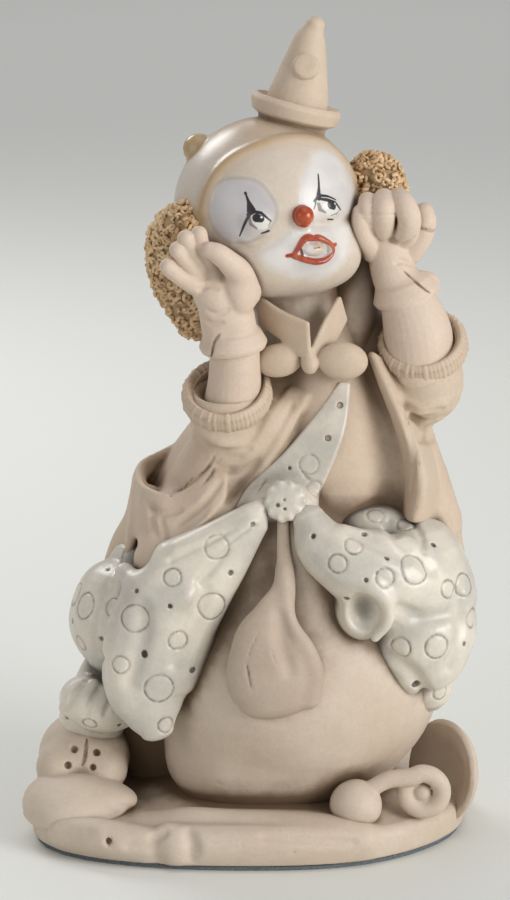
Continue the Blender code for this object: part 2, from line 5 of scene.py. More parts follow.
import bpy
import numpy as np
import openvdb
from mathutils import Euler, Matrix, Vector


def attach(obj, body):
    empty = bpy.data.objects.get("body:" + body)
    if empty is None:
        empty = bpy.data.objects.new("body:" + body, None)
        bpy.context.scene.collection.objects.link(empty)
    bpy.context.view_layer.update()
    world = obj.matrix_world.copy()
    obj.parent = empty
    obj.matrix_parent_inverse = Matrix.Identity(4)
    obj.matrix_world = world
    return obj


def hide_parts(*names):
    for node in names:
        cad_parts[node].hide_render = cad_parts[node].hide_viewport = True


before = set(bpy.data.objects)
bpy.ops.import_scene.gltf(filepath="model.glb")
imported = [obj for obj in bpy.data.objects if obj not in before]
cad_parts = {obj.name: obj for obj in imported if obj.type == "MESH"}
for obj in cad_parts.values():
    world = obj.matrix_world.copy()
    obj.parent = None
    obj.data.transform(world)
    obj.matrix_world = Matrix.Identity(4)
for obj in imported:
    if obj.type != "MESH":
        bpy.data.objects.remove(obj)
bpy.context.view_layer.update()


# Felt pad
# Thin grey-blue felt, glued under the base before the figurine is boxed.
# Its solid has the right shape and stays; it gets the finish of matted wool.
def added(tree, kind, inputs=None, **settings):
    """A node put in a tree, with its settings, and its inputs given as values or as sockets."""
    made = tree.nodes.new(kind)
    for name, value in settings.items():
        setattr(made, name, value)
    for name, value in (inputs or {}).items():
        if isinstance(value, bpy.types.NodeSocket):
            tree.links.new(value, made.inputs[name])
        else:
            made.inputs[name].default_value = value
    return made


def maths(tree, operation, *values, clamp=False):
    return added(tree, "ShaderNodeMath", dict(enumerate(values)),
                 operation=operation, use_clamp=clamp).outputs[0]


def mixed(tree, share, one, other, blend="MIX"):
    return added(tree, "ShaderNodeMix", {0: share, 6: one, 7: other},
                 data_type="RGBA", blend_type=blend).outputs[2]


def eased(tree, value, low, high):
    """0 where the value is under low, 1 where it is over high, and smooth between."""
    return added(tree, "ShaderNodeMapRange", {0: value, 1: low, 2: high},
                 interpolation_type="SMOOTHSTEP").outputs[0]


def mottled(tree, place, scale, detail=3.0, rough=0.55):
    return added(tree, "ShaderNodeTexNoise", {"Vector": place, "Scale": scale, "Detail": detail,
                                              "Roughness": rough}).outputs["Fac"]


def new_finish(name, roughness, coat=0.0, coat_roughness=0.1):
    """A material, its tree, its Principled shader and its place on the object."""
    finish = bpy.data.materials.new(name)
    finish.use_nodes = True
    tree = finish.node_tree
    shader = tree.nodes["Principled BSDF"]
    shader.inputs["Roughness"].default_value = roughness
    shader.inputs["Coat Weight"].default_value = coat
    shader.inputs["Coat Roughness"].default_value = coat_roughness
    place = added(tree, "ShaderNodeTexCoord").outputs["Object"]
    return finish, tree, shader, place


def times(tree, one, other, clamp=False):
    return maths(tree, "MULTIPLY", one, other, clamp=clamp)


def remapped(tree, value, low, high, start=0.0, end=1.0):
    """A value that runs from start to end, made to run from low to high."""
    return added(tree, "ShaderNodeMapRange", {0: value, 1: start, 2: end, 3: low, 4: high}).outputs[0]


def told(tree, name, output="Fac"):
    """What the points of the mesh have been told under a name."""
    return added(tree, "ShaderNodeAttribute", attribute_name=name).outputs[output]


def raised(tree, shader, height, distance, strength=1.0):
    bump = added(tree, "ShaderNodeBump", {"Height": height, "Distance": distance, "Strength": strength})
    tree.links.new(bump.outputs[0], shader.inputs["Normal"])


FELT_BLUE = (0.085, 0.108, 0.125, 1)
FELT_GREY = (0.20, 0.215, 0.215, 1)

felt, tree, shader, place = new_finish("felt", 0.95)
long_fibres = added(tree, "ShaderNodeMapping", {"Vector": place, "Scale": (1, 1, 3)}).outputs[0]
fibres = mottled(tree, long_fibres, 1500, 5, 0.7)
tree.links.new(mixed(tree, eased(tree, fibres, 0.35, 0.7), FELT_BLUE, FELT_GREY),
               shader.inputs["Base Color"])
raised(tree, shader, fibres, 0.0003, 0.8)
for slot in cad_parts["felt_pad"].material_slots:
    slot.material = felt


# Base
# A low slab of cast bisque, heaped up softly round the shoe, the ball and the horn.
# All that follows was cast with it, and is modelled here in clay on a grid, in millimetres. The clay keeps
# its distances up to CLAY_REACH, and a look from the front starts at FROM_FRONT.
MM = 0.001
CLAY_REACH = 5.0
FROM_FRONT = -80
ROUND_END = (0.3, 0.6, 0.85, 0.98)
BISQUE = (0.60, 0.50, 0.40, 1)
WARM_BISQUE = (0.52, 0.405, 0.30, 1)
# The brown of the wash in cut marks, which in the hollows is partly painted shade.
BROWN_STAIN_AND_SHADE = (0.19, 0.125, 0.075, 1)


def smooth_line(rows, steps=6):
    """Rows spaced along a smooth curve through the given rows, whatever their columns mean."""
    rows = np.array(rows, float)
    ends = np.vstack([2 * rows[0] - rows[1], rows, 2 * rows[-1] - rows[-2]])
    line = []
    for a, b, c, d in zip(ends, ends[1:], ends[2:], ends[3:]):
        for t in np.arange(steps) / steps:
            line.append(0.5 * (2 * b + (c - a) * t + (2 * a - 5 * b + 4 * c - d) * t**2
                               + (3 * b - a - 3 * c + d) * t**3))
    return np.array(line + [rows[-1]])


def round_angles(sides):
    return np.arange(sides) * 2 * math.pi / sides


def leaning(axis):
    """The turn that leans an upright form along an axis."""
    return np.array(Vector((0, 0, 1)).rotation_difference(Vector(axis)).to_matrix())


def loft(rings, capped=True):
    """Points and faces of a skin over rings of equal size, each closed on itself."""
    rings = np.array(rings)
    count, sides = rings.shape[:2]
    points = rings.reshape(-1, 3)
    near = np.arange(sides)
    far = (near + 1) % sides
    first = np.arange(count - 1)[:, None] * sides
    faces = np.stack([first + near, first + far, first + sides + far, first + sides + near],
                     -1).reshape(-1, 4)
    if capped:
        last = (count - 1) * sides
        points = np.vstack([points, rings[0].mean(0), rings[-1].mean(0)])
        bottom = np.full(sides, len(points) - 2)
        top = np.full(sides, len(points) - 1)
        faces = np.vstack([faces, np.stack([bottom, far, near, near], 1),
                           np.stack([top, last + near, last + far, last + far], 1)])
    return points, faces


def ball(centre, radii, turn=(0, 0, 0), sides=40):
    """An ellipsoid: its centre, its radii, and its turn about X, Y and Z in degrees."""
    turned_to = np.array(Euler([math.radians(a) for a in turn]).to_matrix())
    angles = round_angles(sides)
    rings = []
    for tilt in np.linspace(0.02, math.pi - 0.02, sides // 2):
        ring = np.stack([math.sin(tilt) * np.cos(angles), math.sin(tilt) * np.sin(angles),
                         np.full(sides, -math.cos(tilt))], axis=1)
        rings.append((ring * radii) @ turned_to.T + centre)
    return loft(rings)


def limb(rows, flat=1.0, face=(0, -1, 0), sides=28, steps=6):
    """A round-ended rod through rows of x, y, z and half-width. Flat is its depth along face, as a share."""
    line = smooth_line(rows, steps)
    path, width = line[:, :3], line[:, 3]
    along = np.gradient(path, axis=0)
    along /= np.linalg.norm(along, axis=1)[:, None]
    last = len(path) - 1
    stations = ([(0, -1, reach) for reach in reversed(ROUND_END)] + [(i, 0, 0.0) for i in range(last + 1)]
                + [(last, 1, reach) for reach in ROUND_END])
    angles = round_angles(sides)
    rings = []
    for i, way, reach in stations:
        across = np.cross(along[i], face)
        across /= np.linalg.norm(across)
        deep = np.cross(across, along[i])
        radius = width[i] * math.sqrt(1 - reach**2)
        ring = (np.outer(np.cos(angles), across) + np.outer(np.sin(angles), deep) * flat) * radius
        rings.append(ring + path[i] + along[i] * (way * reach * width[i] * flat))
    return loft(rings)


class Clay:
    """Clay on a grid: each cell holds its distance to the surface in mm, negative inside."""

    def __init__(self, low, high, cell=0.5):
        self.cell = cell
        self.start = np.floor(np.array(low, float) / cell)
        self.band = math.ceil(CLAY_REACH / cell)
        size = np.ceil(np.array(high, float) / cell - self.start).astype(int)
        self.field = np.full(size, self.band * cell, np.float32)
        self.unmarked = None
        self.mark_share = 1.0

    def reached(self, form, swell):
        """The cells that a form reaches, and their distance to it once it is swollen."""
        points, faces = form
        flat = faces[:, 2] == faces[:, 3]
        level = openvdb.FloatGrid.createLevelSetFromPolygons(
            np.ascontiguousarray(points / self.cell - self.start, np.float32),
            triangles=np.ascontiguousarray(faces[flat][:, :3], np.uint32),
            quads=np.ascontiguousarray(faces[~flat], np.uint32), halfWidth=self.band)
        low, high = (np.array(c) for c in level.evalActiveVoxelBoundingBox())
        low = np.clip(low, 0, self.field.shape)
        high = np.clip(high + 1, low, self.field.shape)
        near = np.empty(high - low, np.float32)
        if near.size:
            level.copyToArray(near, ijk=tuple(int(i) for i in low))
        return tuple(slice(a, b) for a, b in zip(low, high)), near * self.cell - swell

    def add(self, form, blend=0.0, swell=0.0):
        """Joins a form on, with a fillet as deep as the blend."""
        cells, near = self.reached(form, swell)
        self.field[cells] = smooth_least(self.field[cells], near, blend)

    def carve(self, form, blend=0.0, swell=0.0):
        """Takes a form away, with its edge rounded by the blend."""
        cells, near = self.reached(form, swell)
        self.field[cells] = -smooth_least(-self.field[cells], near, blend)

    def keep_unmarked(self):
        """Keeps the clay as it is before the first mark, so that the depth of each mark is known."""
        if self.unmarked is None:
            self.unmarked = self.field.copy()

    def depth(self, points, field=None):
        """The distance to the surface at points, read between the cells."""
        field = self.field if field is None else field
        place = np.atleast_2d(points) / self.cell - self.start
        place = np.clip(place, 0, np.array(field.shape) - 1.001)
        cell = place.astype(int)
        x, y, z = (place - cell).T
        i, j, k = cell.T
        near = field[i, j, k] * (1 - z) + field[i, j, k + 1] * z
        deep = field[i, j + 1, k] * (1 - z) + field[i, j + 1, k + 1] * z
        near_side = near * (1 - y) + deep * y
        near = field[i + 1, j, k] * (1 - z) + field[i + 1, j, k + 1] * z
        deep = field[i + 1, j + 1, k] * (1 - z) + field[i + 1, j + 1, k + 1] * z
        return near_side * (1 - x) + (near * (1 - y) + deep * y) * x

    def met(self, start, way):
        """Where a straight line from a start first meets the clay, or None."""
        way = np.array(way, float) / np.linalg.norm(way)
        steps = np.arange(0, 240, self.cell / 2)
        line = np.array(start, float) + np.outer(steps, way)
        depth = self.depth(line)
        inside = np.flatnonzero((depth[1:] < 0) & (depth[:-1] >= 0))
        if not len(inside):
            return None
        i = inside[0]
        return line[i] + (line[i + 1] - line[i]) * depth[i] / (depth[i] - depth[i + 1])

    def front(self, x, z):
        """The depth y at which someone in front first meets the clay at x and z."""
        return self.met((x, FROM_FRONT, z), (0, 1, 0))[1]

    def outward(self, point):
        """The way that the surface faces at a point on it."""
        step = np.eye(3) * self.cell
        slope = self.depth(point + step) - self.depth(point - step)
        return slope / np.linalg.norm(slope)

    def skin(self):
        """The surface as points and triangles that face outwards."""
        grid = openvdb.FloatGrid(self.band * self.cell)
        grid.copyFromArray(np.ascontiguousarray(self.field), tolerance=0.0)
        points, triangles, quads = grid.convertToPolygons(isovalue=0.0, adaptivity=0.0)
        faces = np.vstack([triangles.reshape(-1, 3), quads[:, [0, 1, 2]], quads[:, [0, 2, 3]]])
        faces = faces.astype(np.int32)
        points = (points + self.start) * self.cell
        a, b, c = points[faces].transpose(1, 0, 2)
        if (a * np.cross(b, c)).sum() < 0:
            faces = faces[:, ::-1]
        return points, faces


def smooth_least(a, b, blend):
    """The lesser of two distances, with a fillet as deep as the blend where they meet."""
    if blend <= 0:
        return np.minimum(a, b)
    share = np.clip(0.5 + 0.5 * (b - a) / blend, 0, 1)
    return b + (a - b) * share - blend * share * (1 - share)


def as_form(points, faces):
    """A mesh of triangles as a form that clay takes."""
    return points, np.column_stack([faces, faces[:, 2]])


def put_in(name, data):
    """An object in the scene with its data."""
    made = bpy.data.objects.new(name, data)
    bpy.context.scene.collection.objects.link(made)
    return made


def meshed(name, points, faces, finish=None):
    """An object of triangles, from points in mm."""
    mesh = bpy.data.meshes.new(name)
    mesh.vertices.add(len(points))
    mesh.vertices.foreach_set("co", (np.asarray(points) * MM).astype(np.float32).ravel())
    mesh.loops.add(faces.size)
    mesh.loops.foreach_set("vertex_index", np.ascontiguousarray(faces, np.int32).ravel())
    mesh.polygons.add(len(faces))
    mesh.polygons.foreach_set("loop_start", np.arange(0, faces.size, 3, dtype=np.int32))
    mesh.update(calc_edges=True)
    mesh.shade_smooth()
    if finish:
        mesh.materials.append(finish)
    return put_in(name, mesh)


def read_mesh(mesh):
    """Points in mm and triangles of a mesh."""
    points = np.empty(len(mesh.vertices) * 3, np.float32)
    mesh.vertices.foreach_get("co", points)
    mesh.calc_loop_triangles()
    faces = np.empty(len(mesh.loop_triangles) * 3, np.int32)
    mesh.loop_triangles.foreach_get("vertices", faces)
    return points.reshape(-1, 3).astype(float) / MM, faces.reshape(-1, 3)


def worked_in(made):
    """The object's mesh with its modifiers worked in, which are then removed."""
    bpy.context.view_layer.update()
    graph = bpy.context.evaluated_depsgraph_get()
    mesh = bpy.data.meshes.new_from_object(made.evaluated_get(graph))
    made.modifiers.clear()
    made.data = mesh
    return mesh


def largest(points, faces):
    """The largest connected piece of a skin, without its crumbs and sealed hollows."""
    a = faces.ravel()
    b = np.roll(faces, 1, axis=1).ravel()
    label = np.arange(len(points))
    while True:
        least = label.copy()
        np.minimum.at(least, a, label[b])
        np.minimum.at(least, b, label[a])
        least = least[least]
        if (least == label).all():
            break
        label = least
    kept = label == np.bincount(label).argmax()
    place = np.cumsum(kept) - 1
    return points[kept], place[faces[kept[faces[:, 0]]]]


def with_values(made, name, values, kind="FLOAT"):
    """Writes one value, or one vector, for each point of the object's mesh."""
    key = "vector" if kind == "FLOAT_VECTOR" else "value"
    layer = made.data.attributes.new(name, kind, "POINT")
    layer.data.foreach_set(key, np.asarray(values, np.float32).ravel())


pieces = []


def cast(name, clay, finish, most):
    """The clay as a piece of the casting, in at most so many triangles, with its marks' depth."""
    points, faces = clay.skin()
    made = meshed(name, points, faces, finish)
    if len(faces) > most:
        fewer = made.modifiers.new("fewer_facets", "DECIMATE")
        fewer.ratio = most / len(faces)
        worked_in(made)
        points, faces = read_mesh(made.data)
    bpy.data.objects.remove(made)
    made = meshed(name, *largest(points, faces), finish)
    points, faces = read_mesh(made.data)
    marked = -clay.depth(points, clay.unmarked) if clay.unmarked is not None else np.zeros(len(points))
    with_values(made, "marked", np.clip(marked, 0, 1) * clay.mark_share)
    return part_of_casting(made)


def part_of_casting(made):
    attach(made, "root")
    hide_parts("clown_figure")
    pieces.append(made)
    return made


def creased(clay, lines, width, sink=0.0, blend=1.6):
    """Soft folds pressed in along lines, each through rows of x and z as seen from the front."""
    for line in lines:
        rows = []
        for x, z in smooth_line(line, 5):
            spot = clay.met((x, FROM_FRONT, z), (0, 1, 0))
            if spot is not None:
                rows.append((*(spot - clay.outward(spot) * sink), width))
        if len(rows) < 3:
            continue
        widths = np.sin(np.linspace(0.25, math.pi - 0.25, len(rows))) ** 0.5
        rows = [(*row[:3], row[3] * w) for row, w in zip(rows, widths)]
        clay.carve(limb(rows, sides=12, face=(0.1, -1, 0.05), steps=1), blend)


def scored(clay, lines, width=0.35, sink=0.15):
    """Fine lines cut with a tool, along lines as in creased, that the wash later darkens."""
    clay.keep_unmarked()
    creased(clay, lines, width, sink, 0.15)


def socketed(group, inputs, outputs):
    """Gives a node group its sockets, by label and kind, and returns its two ends."""
    for way, rows in (("INPUT", inputs), ("OUTPUT", outputs)):
        for label, kind in rows:
            group.interface.new_socket(label, in_out=way, socket_type="NodeSocket" + kind)
    return added(group, "NodeGroupInput").outputs, added(group, "NodeGroupOutput").inputs


def stained_and_shaded_bisque_group():
    """Tinted bisque: cloudy colour, brown wash in the cut marks and, with painted shade, in the hollows, and
    a fine grain.
    """
    group = bpy.data.node_groups.new("stained_and_shaded_bisque", "ShaderNodeTree")
    given, end = socketed(group, (("Clay", "Color"), ("Cloud", "Color"), ("Stain And Shade Colour", "Color"),
                                  ("Cloudiness", "Float"), ("Stain And Shade Amount", "Float"), ("Place", "Vector")),
                          (("Color", "Color"), ("Stained And Shaded", "Float"), ("Grain", "Float")))
    hollow = told(group, "hollow")
    marked = told(group, "marked")
    clouds = mottled(group, given["Place"], 55, 4)
    clay = mixed(group, times(group, eased(group, clouds, 0.38, 0.68), given["Cloudiness"]),
                 given["Clay"], given["Cloud"])
    ragged = times(group, maths(group, "SUBTRACT", mottled(group, given["Place"], 200, 5), 0.5), 0.45)
    # Brown in the hollows: partly the wash that stays there, partly painted shade where light is blocked.
    hollow_stain_and_shade = eased(group, maths(group, "ADD", hollow, ragged), 0.0, 0.8)
    hollow_stain_and_shade = times(group, hollow_stain_and_shade, given["Stain And Shade Amount"], clamp=True)
    patchy = eased(group, mottled(group, given["Place"], 330, 2), 0.25, 0.6)
    cut = times(group, eased(group, marked, 0.04, 0.34), remapped(group, patchy, 0.3, 0.95))
    cut = times(group, cut, given["Stain And Shade Amount"], clamp=True)
    stain_and_shade_share = maths(group, "MAXIMUM", hollow_stain_and_shade, cut)
    speck = mottled(group, given["Place"], 1400, 2)
    grain = maths(group, "ADD", times(group, speck, 0.6),
                  times(group, mottled(group, given["Place"], 380, 3), 0.4))
    tone = remapped(group, grain, 0.94, 1.05, 0.3, 0.7)
    coloured = mixed(group, stain_and_shade_share, clay, given["Stain And Shade Colour"])
    coloured = added(group, "ShaderNodeVectorMath", {0: coloured, 1: tone}, operation="MULTIPLY").outputs[0]
    group.links.new(coloured, end["Color"])
    group.links.new(stain_and_shade_share, end["Stained And Shaded"])
    group.links.new(grain, end["Grain"])
    return group


stained_and_shaded_bisque = stained_and_shaded_bisque_group()


def bisque_finish(name, clay=BISQUE, cloud=WARM_BISQUE, stain_and_shade_colour=BROWN_STAIN_AND_SHADE, roughness=0.62, coat=0.0,
                  coat_roughness=0.1, cloudiness=0.5, amount=1.0, grain=0.00012):
    """Bisque in its own tint, and the group's outputs for paint that goes over it."""
    finish, tree, shader, place = new_finish(name, roughness, coat, coat_roughness)
    skin = added(tree, "ShaderNodeGroup", node_tree=stained_and_shaded_bisque)
    for label, value in (("Clay", clay), ("Cloud", cloud), ("Stain And Shade Colour", stain_and_shade_colour), ("Cloudiness", cloudiness),
                         ("Stain And Shade Amount", amount)):
        skin.inputs[label].default_value = value
    tree.links.new(place, skin.inputs["Place"])
    tree.links.new(skin.outputs["Color"], shader.inputs["Base Color"])
    raised(tree, shader, skin.outputs["Grain"], grain, 0.6)
    return finish, tree, shader, skin.outputs


BASE_LENGTH, BASE_DEPTH = 108.0, 88.0
BASE_BOTTOM, BASE_TOP = 1.3, 9.0
BASE_SQUARENESS = 2.4
BASE_EDGE = 2.6
BASE_LOBES = ((210, 5.0, 24), (322, -2.2, 22), (75, 2.2, 30), (128, -1.8, 22))


def base_ring(inset, height, sides=160):
    """The base's outline at a height, drawn in by the inset."""
    ring = []
    for i in range(sides):
        angle = 2 * math.pi * i / sides
        c, s = math.cos(angle), math.sin(angle)
        reach = (abs(c) ** BASE_SQUARENESS + abs(s) ** BASE_SQUARENESS) ** (-1 / BASE_SQUARENESS)
        lobes = sum(size * math.exp(-((math.degrees(angle) - where) / width) ** 2)
                    for where, size, width in BASE_LOBES)
        ring.append((c * (reach * BASE_LENGTH / 2 + lobes - inset),
                     s * (reach * BASE_DEPTH / 2 + lobes - inset), height))
    return ring


clay = Clay((-64, -52, -1), (62, 50, 18), 0.6)
rings = [base_ring(1.3, BASE_BOTTOM), base_ring(0.7, BASE_BOTTOM + 0.3), base_ring(0.3, 3.6)]
for step in range(7):
    turn = math.radians(15 * step)
    rings.append(base_ring(BASE_EDGE * (1 - math.cos(turn)), BASE_TOP - BASE_EDGE * (1 - math.sin(turn))))
clay.add(loft(rings))
clay.add(limb([(-47, -30, 6, 4), (-36, -36, 6.2, 4.6), (-27, -38.6, 5.6, 4)], face=(0, 0, 1)), 2)
clay.add(limb([(-19, -39.4, 5.8, 5), (-4, -40.5, 6.4, 4.6), (12, -39.5, 6.2, 4.6), (26, -36.5, 6, 4.4)],
              face=(0, 0, 1)), 2)
clay.add(limb([(-27, -29, 7.6, 3), (-16, -32, 9.4, 3.4), (-5, -34, 9.0, 3.2), (10, -35, 8.4, 3),
               (22, -36, 7.6, 3)], face=(0, 0, 1)), 3)
clay.add(ball((-20, 10, 8), (24, 20, 4)), 3)
clay.add(ball((8, -5, 7.0), (33, 31.5, 6.0)), 7)
clay.add(limb([(-22.0, -39.0, 9.0, 1.6), (-20.2, -40.6, 6, 2.0), (-19.4, -41.0, 3.6, 1.8)]), 3.0)
creased(clay, [[(-16.2, 9.8), (-15.2, 6.6), (-15.6, 4.0)]], 1.3, 0.4, 2.4)
clay.add(ball((-37.6, -37.6, 8.4), (2.0, 1.8, 1.4)), 1.5)
clay.carve(ball((-35.6, -39.6, 6.8), (0.9, 1.4, 0.9)), 1.2)
creased(clay, [[(-31, 6.0), (-26, 7.0), (-22, 9.6)], [(2, 9.4), (14, 8.2), (24, 7.0)]], 0.8, 0.0, 1.6)
scored(clay, [[(-3, 8.2), (-3.2, 6.8)], [(10, 6.2), (9.4, 5.0)], [(-12, 8.4), (-8, 8.0)]], 0.24)
clay.carve(loft([base_ring(-10, -5), base_ring(-10, BASE_BOTTOM)]))
bisque = bisque_finish("bisque")[0]
cast("base", clay, bisque, 40000)


# Ball seat
# The big round ball that the clown sits on, drawn up into a neck under the waist, with light tool scratches.
# It is the same bare bisque as the base, cast in one with it.
clay = Clay((-46, -42, 4), (52, 34, 92), 0.6)
clay.add(ball((10.6, -4, 40), (36.2, 34, 32.2), sides=64))
clay.add(limb([(11, -22, 84, 5.5), (13.2, -24, 74, 7.5), (14.5, -21, 62, 9.5), (14, -18, 52, 10)]), 6)
clay.add(limb([(4, -20, 84, 5), (1.5, -19, 75, 7.5), (-2, -16, 62, 10), (-3, -14, 50, 10)]), 5)
clay.add(ball((-4, -8, 24), (18.3, 20, 20)), 6)
clay.add(ball((6, -8, 18), (27, 21.5, 12)), 5)
clay.add(limb([(-24, 10, 46, 16), (-26, 9, 30, 15), (-25, 8, 14, 11)]), 3)
clay.carve(ball((3.4, -32, 70.4), (2.6, 5, 3.0), (0, 20, 0)), 1.5)
scored(clay, [[(14.2, 65.5), (15.2, 63.9), (14.8, 62.6), (16.2, 61.4)],
              [(15.9, 64.4), (16.8, 62.0), (16.2, 60.4)], [(17.4, 66.8), (17.0, 64.2)],
              [(15.5, 68.4), (16.0, 66.9)]], 0.22, 0.05)
cast("ball_seat", clay, bisque, 32000)


# Cloth drop
# The drop-shaped tail of the shirt, pulled out from under the rosette and lying on the ball's front.
# It was modelled as one lump with a stem, and its creases were cut with a blunt tool.
# Painted shade: the drop's bisque is a darker copy of the ball's, so the drop reads as lying in shade.
bisque_in_painted_shade = bisque_finish("bisque_in_painted_shade", (0.48, 0.385, 0.30, 1), (0.40, 0.305, 0.222, 1))[0]
clay = Clay((-14, -48, 28), (28, -14, 94), 0.36)
clay.add(limb([(7.0, -25, 88, 1.8), (6.9, -29.4, 79, 1.6), (7.2, -33, 70, 2.6), (4.9, -35.4, 63.5, 4.8),
               (3.3, -36.6, 57.5, 8.2), (3.8, -37.2, 51.3, 10.8), (4.6, -37.2, 46, 11.3),
               (5.4, -36.8, 42, 9.6)], flat=0.5, sides=44), 1.0)
clay.add(limb([(6.9, -32, 73, 1.3), (8.0, -36.6, 62.5, 1.6), (12.4, -38.6, 55.2, 2.0),
               (14.4, -38.6, 49, 2.2), (13.4, -37.6, 42, 2.2)]), 2.0)
creased(clay, [[(6.0, 63), (6.6, 57.0), (8.4, 50.6)]], 1.0, -0.3, 3.0)
scored(clay, [[(1.2, 60.0), (-0.9, 56), (-2.1, 52.0)], [(3.9, 55.9), (5.4, 51.4)]], 0.2, 0.04)
scored(clay, [[(-2.1, 52.2), (-1.5, 48.8), (-0.9, 45.8)]], 0.32, 0.08)
scored(clay, [[(13.6, 57.6), (16.2, 52.4), (16.8, 47.8)]], 0.2, 0.0)
cast("cloth_drop", clay, bisque_in_painted_shade, 24000)


# Trousers
# Two wide puffed halves of polka-dot cloth, glazed pearly white. The dots are rings and pin holes pressed
# into the clay with small tubes and a needle before casting, so each ring follows the cloth it is pressed in.
GLAZE_WHITE = (0.70, 0.63, 0.53, 1)
GLAZE_GREEN = (0.455, 0.435, 0.385, 1)
# The glaze's brown wash in cut marks, which in the hollows is partly painted shade.
GLAZE_STAIN_AND_SHADE = (0.105, 0.088, 0.07, 1)
LOOKED_FROM = 90
LARGEST_PIN = 1.2


def geometry_tree(name, inputs):
    """A Geometry Nodes tree with the given inputs, and the sockets at its two ends."""
    tree = bpy.data.node_groups.new(name, "GeometryNodeTree")
    given, end = socketed(tree, [("Geometry", "Geometry")] + inputs, [("Geometry", "Geometry")])
    return tree, given, end[0]


def stored(tree, name, kind="FLOAT"):
    node = added(tree, "GeometryNodeInputNamedAttribute", {"Name": name}, data_type=kind)
    return node.outputs[0]


def grown(made, tree, values):
    """The object's mesh once it has been through a Geometry Nodes tree with the given inputs."""
    modifier = made.modifiers.new(tree.name, "NODES")
    modifier.node_group = tree
    for socket in tree.interface.items_tree:
        if socket.in_out == "INPUT" and socket.name in values:
            modifier[socket.identifier] = values[socket.name]
    return worked_in(made)


def pressed_marks_tree():
    """Rings of the points' radius, each laid down on the clay, and small round pins where it is little."""
    tree, given, end = geometry_tree("pressed_marks", [("Clay", "Object"), ("Groove", "Float"),
                                                       ("Largest Pin", "Float"), ("Finish", "Material")])
    radius = stored(tree, "radius")
    facing = stored(tree, "facing", "FLOAT_VECTOR")
    turn = added(tree, "FunctionNodeAlignRotationToVector", {"Vector": facing}, axis="Z").outputs[0]
    pin = added(tree, "FunctionNodeCompare", {0: radius, 1: given["Largest Pin"]},
                operation="LESS_THAN").outputs[0]
    sorted_points = added(tree, "GeometryNodeSeparateGeometry", {"Geometry": given["Geometry"],
                                                                 "Selection": pin})
    circle = added(tree, "GeometryNodeMeshCircle", {"Vertices": 48, "Radius": 1.0})
    rings = added(tree, "GeometryNodeInstanceOnPoints", {"Points": sorted_points.outputs[1],
                  "Instance": circle.outputs[0], "Rotation": turn, "Scale": radius}).outputs[0]
    rings = added(tree, "GeometryNodeRealizeInstances", {"Geometry": rings}).outputs[0]
    lifted = added(tree, "ShaderNodeVectorMath", {0: facing, "Scale": 0.004}, operation="SCALE").outputs[0]
    above = added(tree, "ShaderNodeVectorMath", {0: added(tree, "GeometryNodeInputPosition").outputs[0],
                                                 1: lifted}).outputs[0]
    down = added(tree, "ShaderNodeVectorMath", {0: facing, "Scale": -1.0}, operation="SCALE").outputs[0]
    clay_mesh = added(tree, "GeometryNodeObjectInfo", {"Object": given["Clay"]}).outputs["Geometry"]
    ray = added(tree, "GeometryNodeRaycast", {"Target Geometry": clay_mesh, "Source Position": above,
                                              "Ray Direction": down, "Ray Length": 0.008})
    rings = added(tree, "GeometryNodeSetPosition", {"Geometry": rings, "Selection": ray.outputs["Is Hit"],
                                                    "Position": ray.outputs["Hit Position"]}).outputs[0]
    lines = added(tree, "GeometryNodeMeshToCurve", {"Mesh": rings}).outputs[0]
    profile = added(tree, "GeometryNodeCurvePrimitiveCircle", {"Resolution": 10, "Radius": given["Groove"]})
    grooves = added(tree, "GeometryNodeCurveToMesh", {"Curve": lines, "Profile Curve": profile.outputs[0]})
    head = added(tree, "GeometryNodeMeshUVSphere", {"Segments": 16, "Rings": 10, "Radius": 1.0})
    deep = times(tree, radius, 1.7)
    size = added(tree, "ShaderNodeCombineXYZ", {0: radius, 1: radius, 2: deep})
    pins = added(tree, "GeometryNodeInstanceOnPoints", {"Points": sorted_points.outputs[0],
                 "Instance": head.outputs[0], "Rotation": turn, "Scale": size.outputs[0]}).outputs[0]
    both = added(tree, "GeometryNodeJoinGeometry", {0: grooves.outputs[0]})
    tree.links.new(pins, both.inputs[0])
    whole = added(tree, "GeometryNodeRealizeInstances", {"Geometry": both.outputs[0]}).outputs[0]
    dressed = added(tree, "GeometryNodeSetMaterial", {"Geometry": whole, "Material": given["Finish"]})
    tree.links.new(dressed.outputs[0], end)
    return tree


pressed_marks = pressed_marks_tree()


def pressed(clay, marks, finish, groove=0.34):
    """Presses marks into the clay: rows of x, z and radius as seen from the front, small ones for pins.

    A row may end with the turn, in degrees to the viewer's right, that it is seen from.
    """
    clay.keep_unmarked()
    spots, ways, sizes = [], [], []
    for x, z, radius, *turned_by in marks:
        turn = math.radians(turned_by[0] if turned_by else 0)
        start = (x * math.cos(turn) + LOOKED_FROM * math.sin(turn),
                 x * math.sin(turn) - LOOKED_FROM * math.cos(turn), z)
        spot = clay.met(start, (-math.sin(turn), math.cos(turn), 0))
        if spot is not None:
            spots.append(spot)
            ways.append(clay.outward(spot))
            sizes.append(radius * MM)
    before = meshed("clay_before_marks", *clay.skin())
    tools = meshed("marks", np.array(spots), np.zeros((0, 3), int))
    with_values(tools, "facing", ways, "FLOAT_VECTOR")
    with_values(tools, "radius", sizes)
    grown(tools, pressed_marks, {"Clay": before, "Groove": groove * MM, "Largest Pin": LARGEST_PIN * MM,
                                 "Finish": finish})
    clay.carve(as_form(*read_mesh(tools.data)), 0.12)
    bpy.data.objects.remove(before)
    bpy.data.objects.remove(tools)


glaze = bisque_finish("pearly_glaze", GLAZE_WHITE, GLAZE_GREEN, GLAZE_STAIN_AND_SHADE, roughness=0.42, coat=0.3,
                      coat_roughness=0.22, cloudiness=0.7, amount=0.9, grain=0.00006)[0]

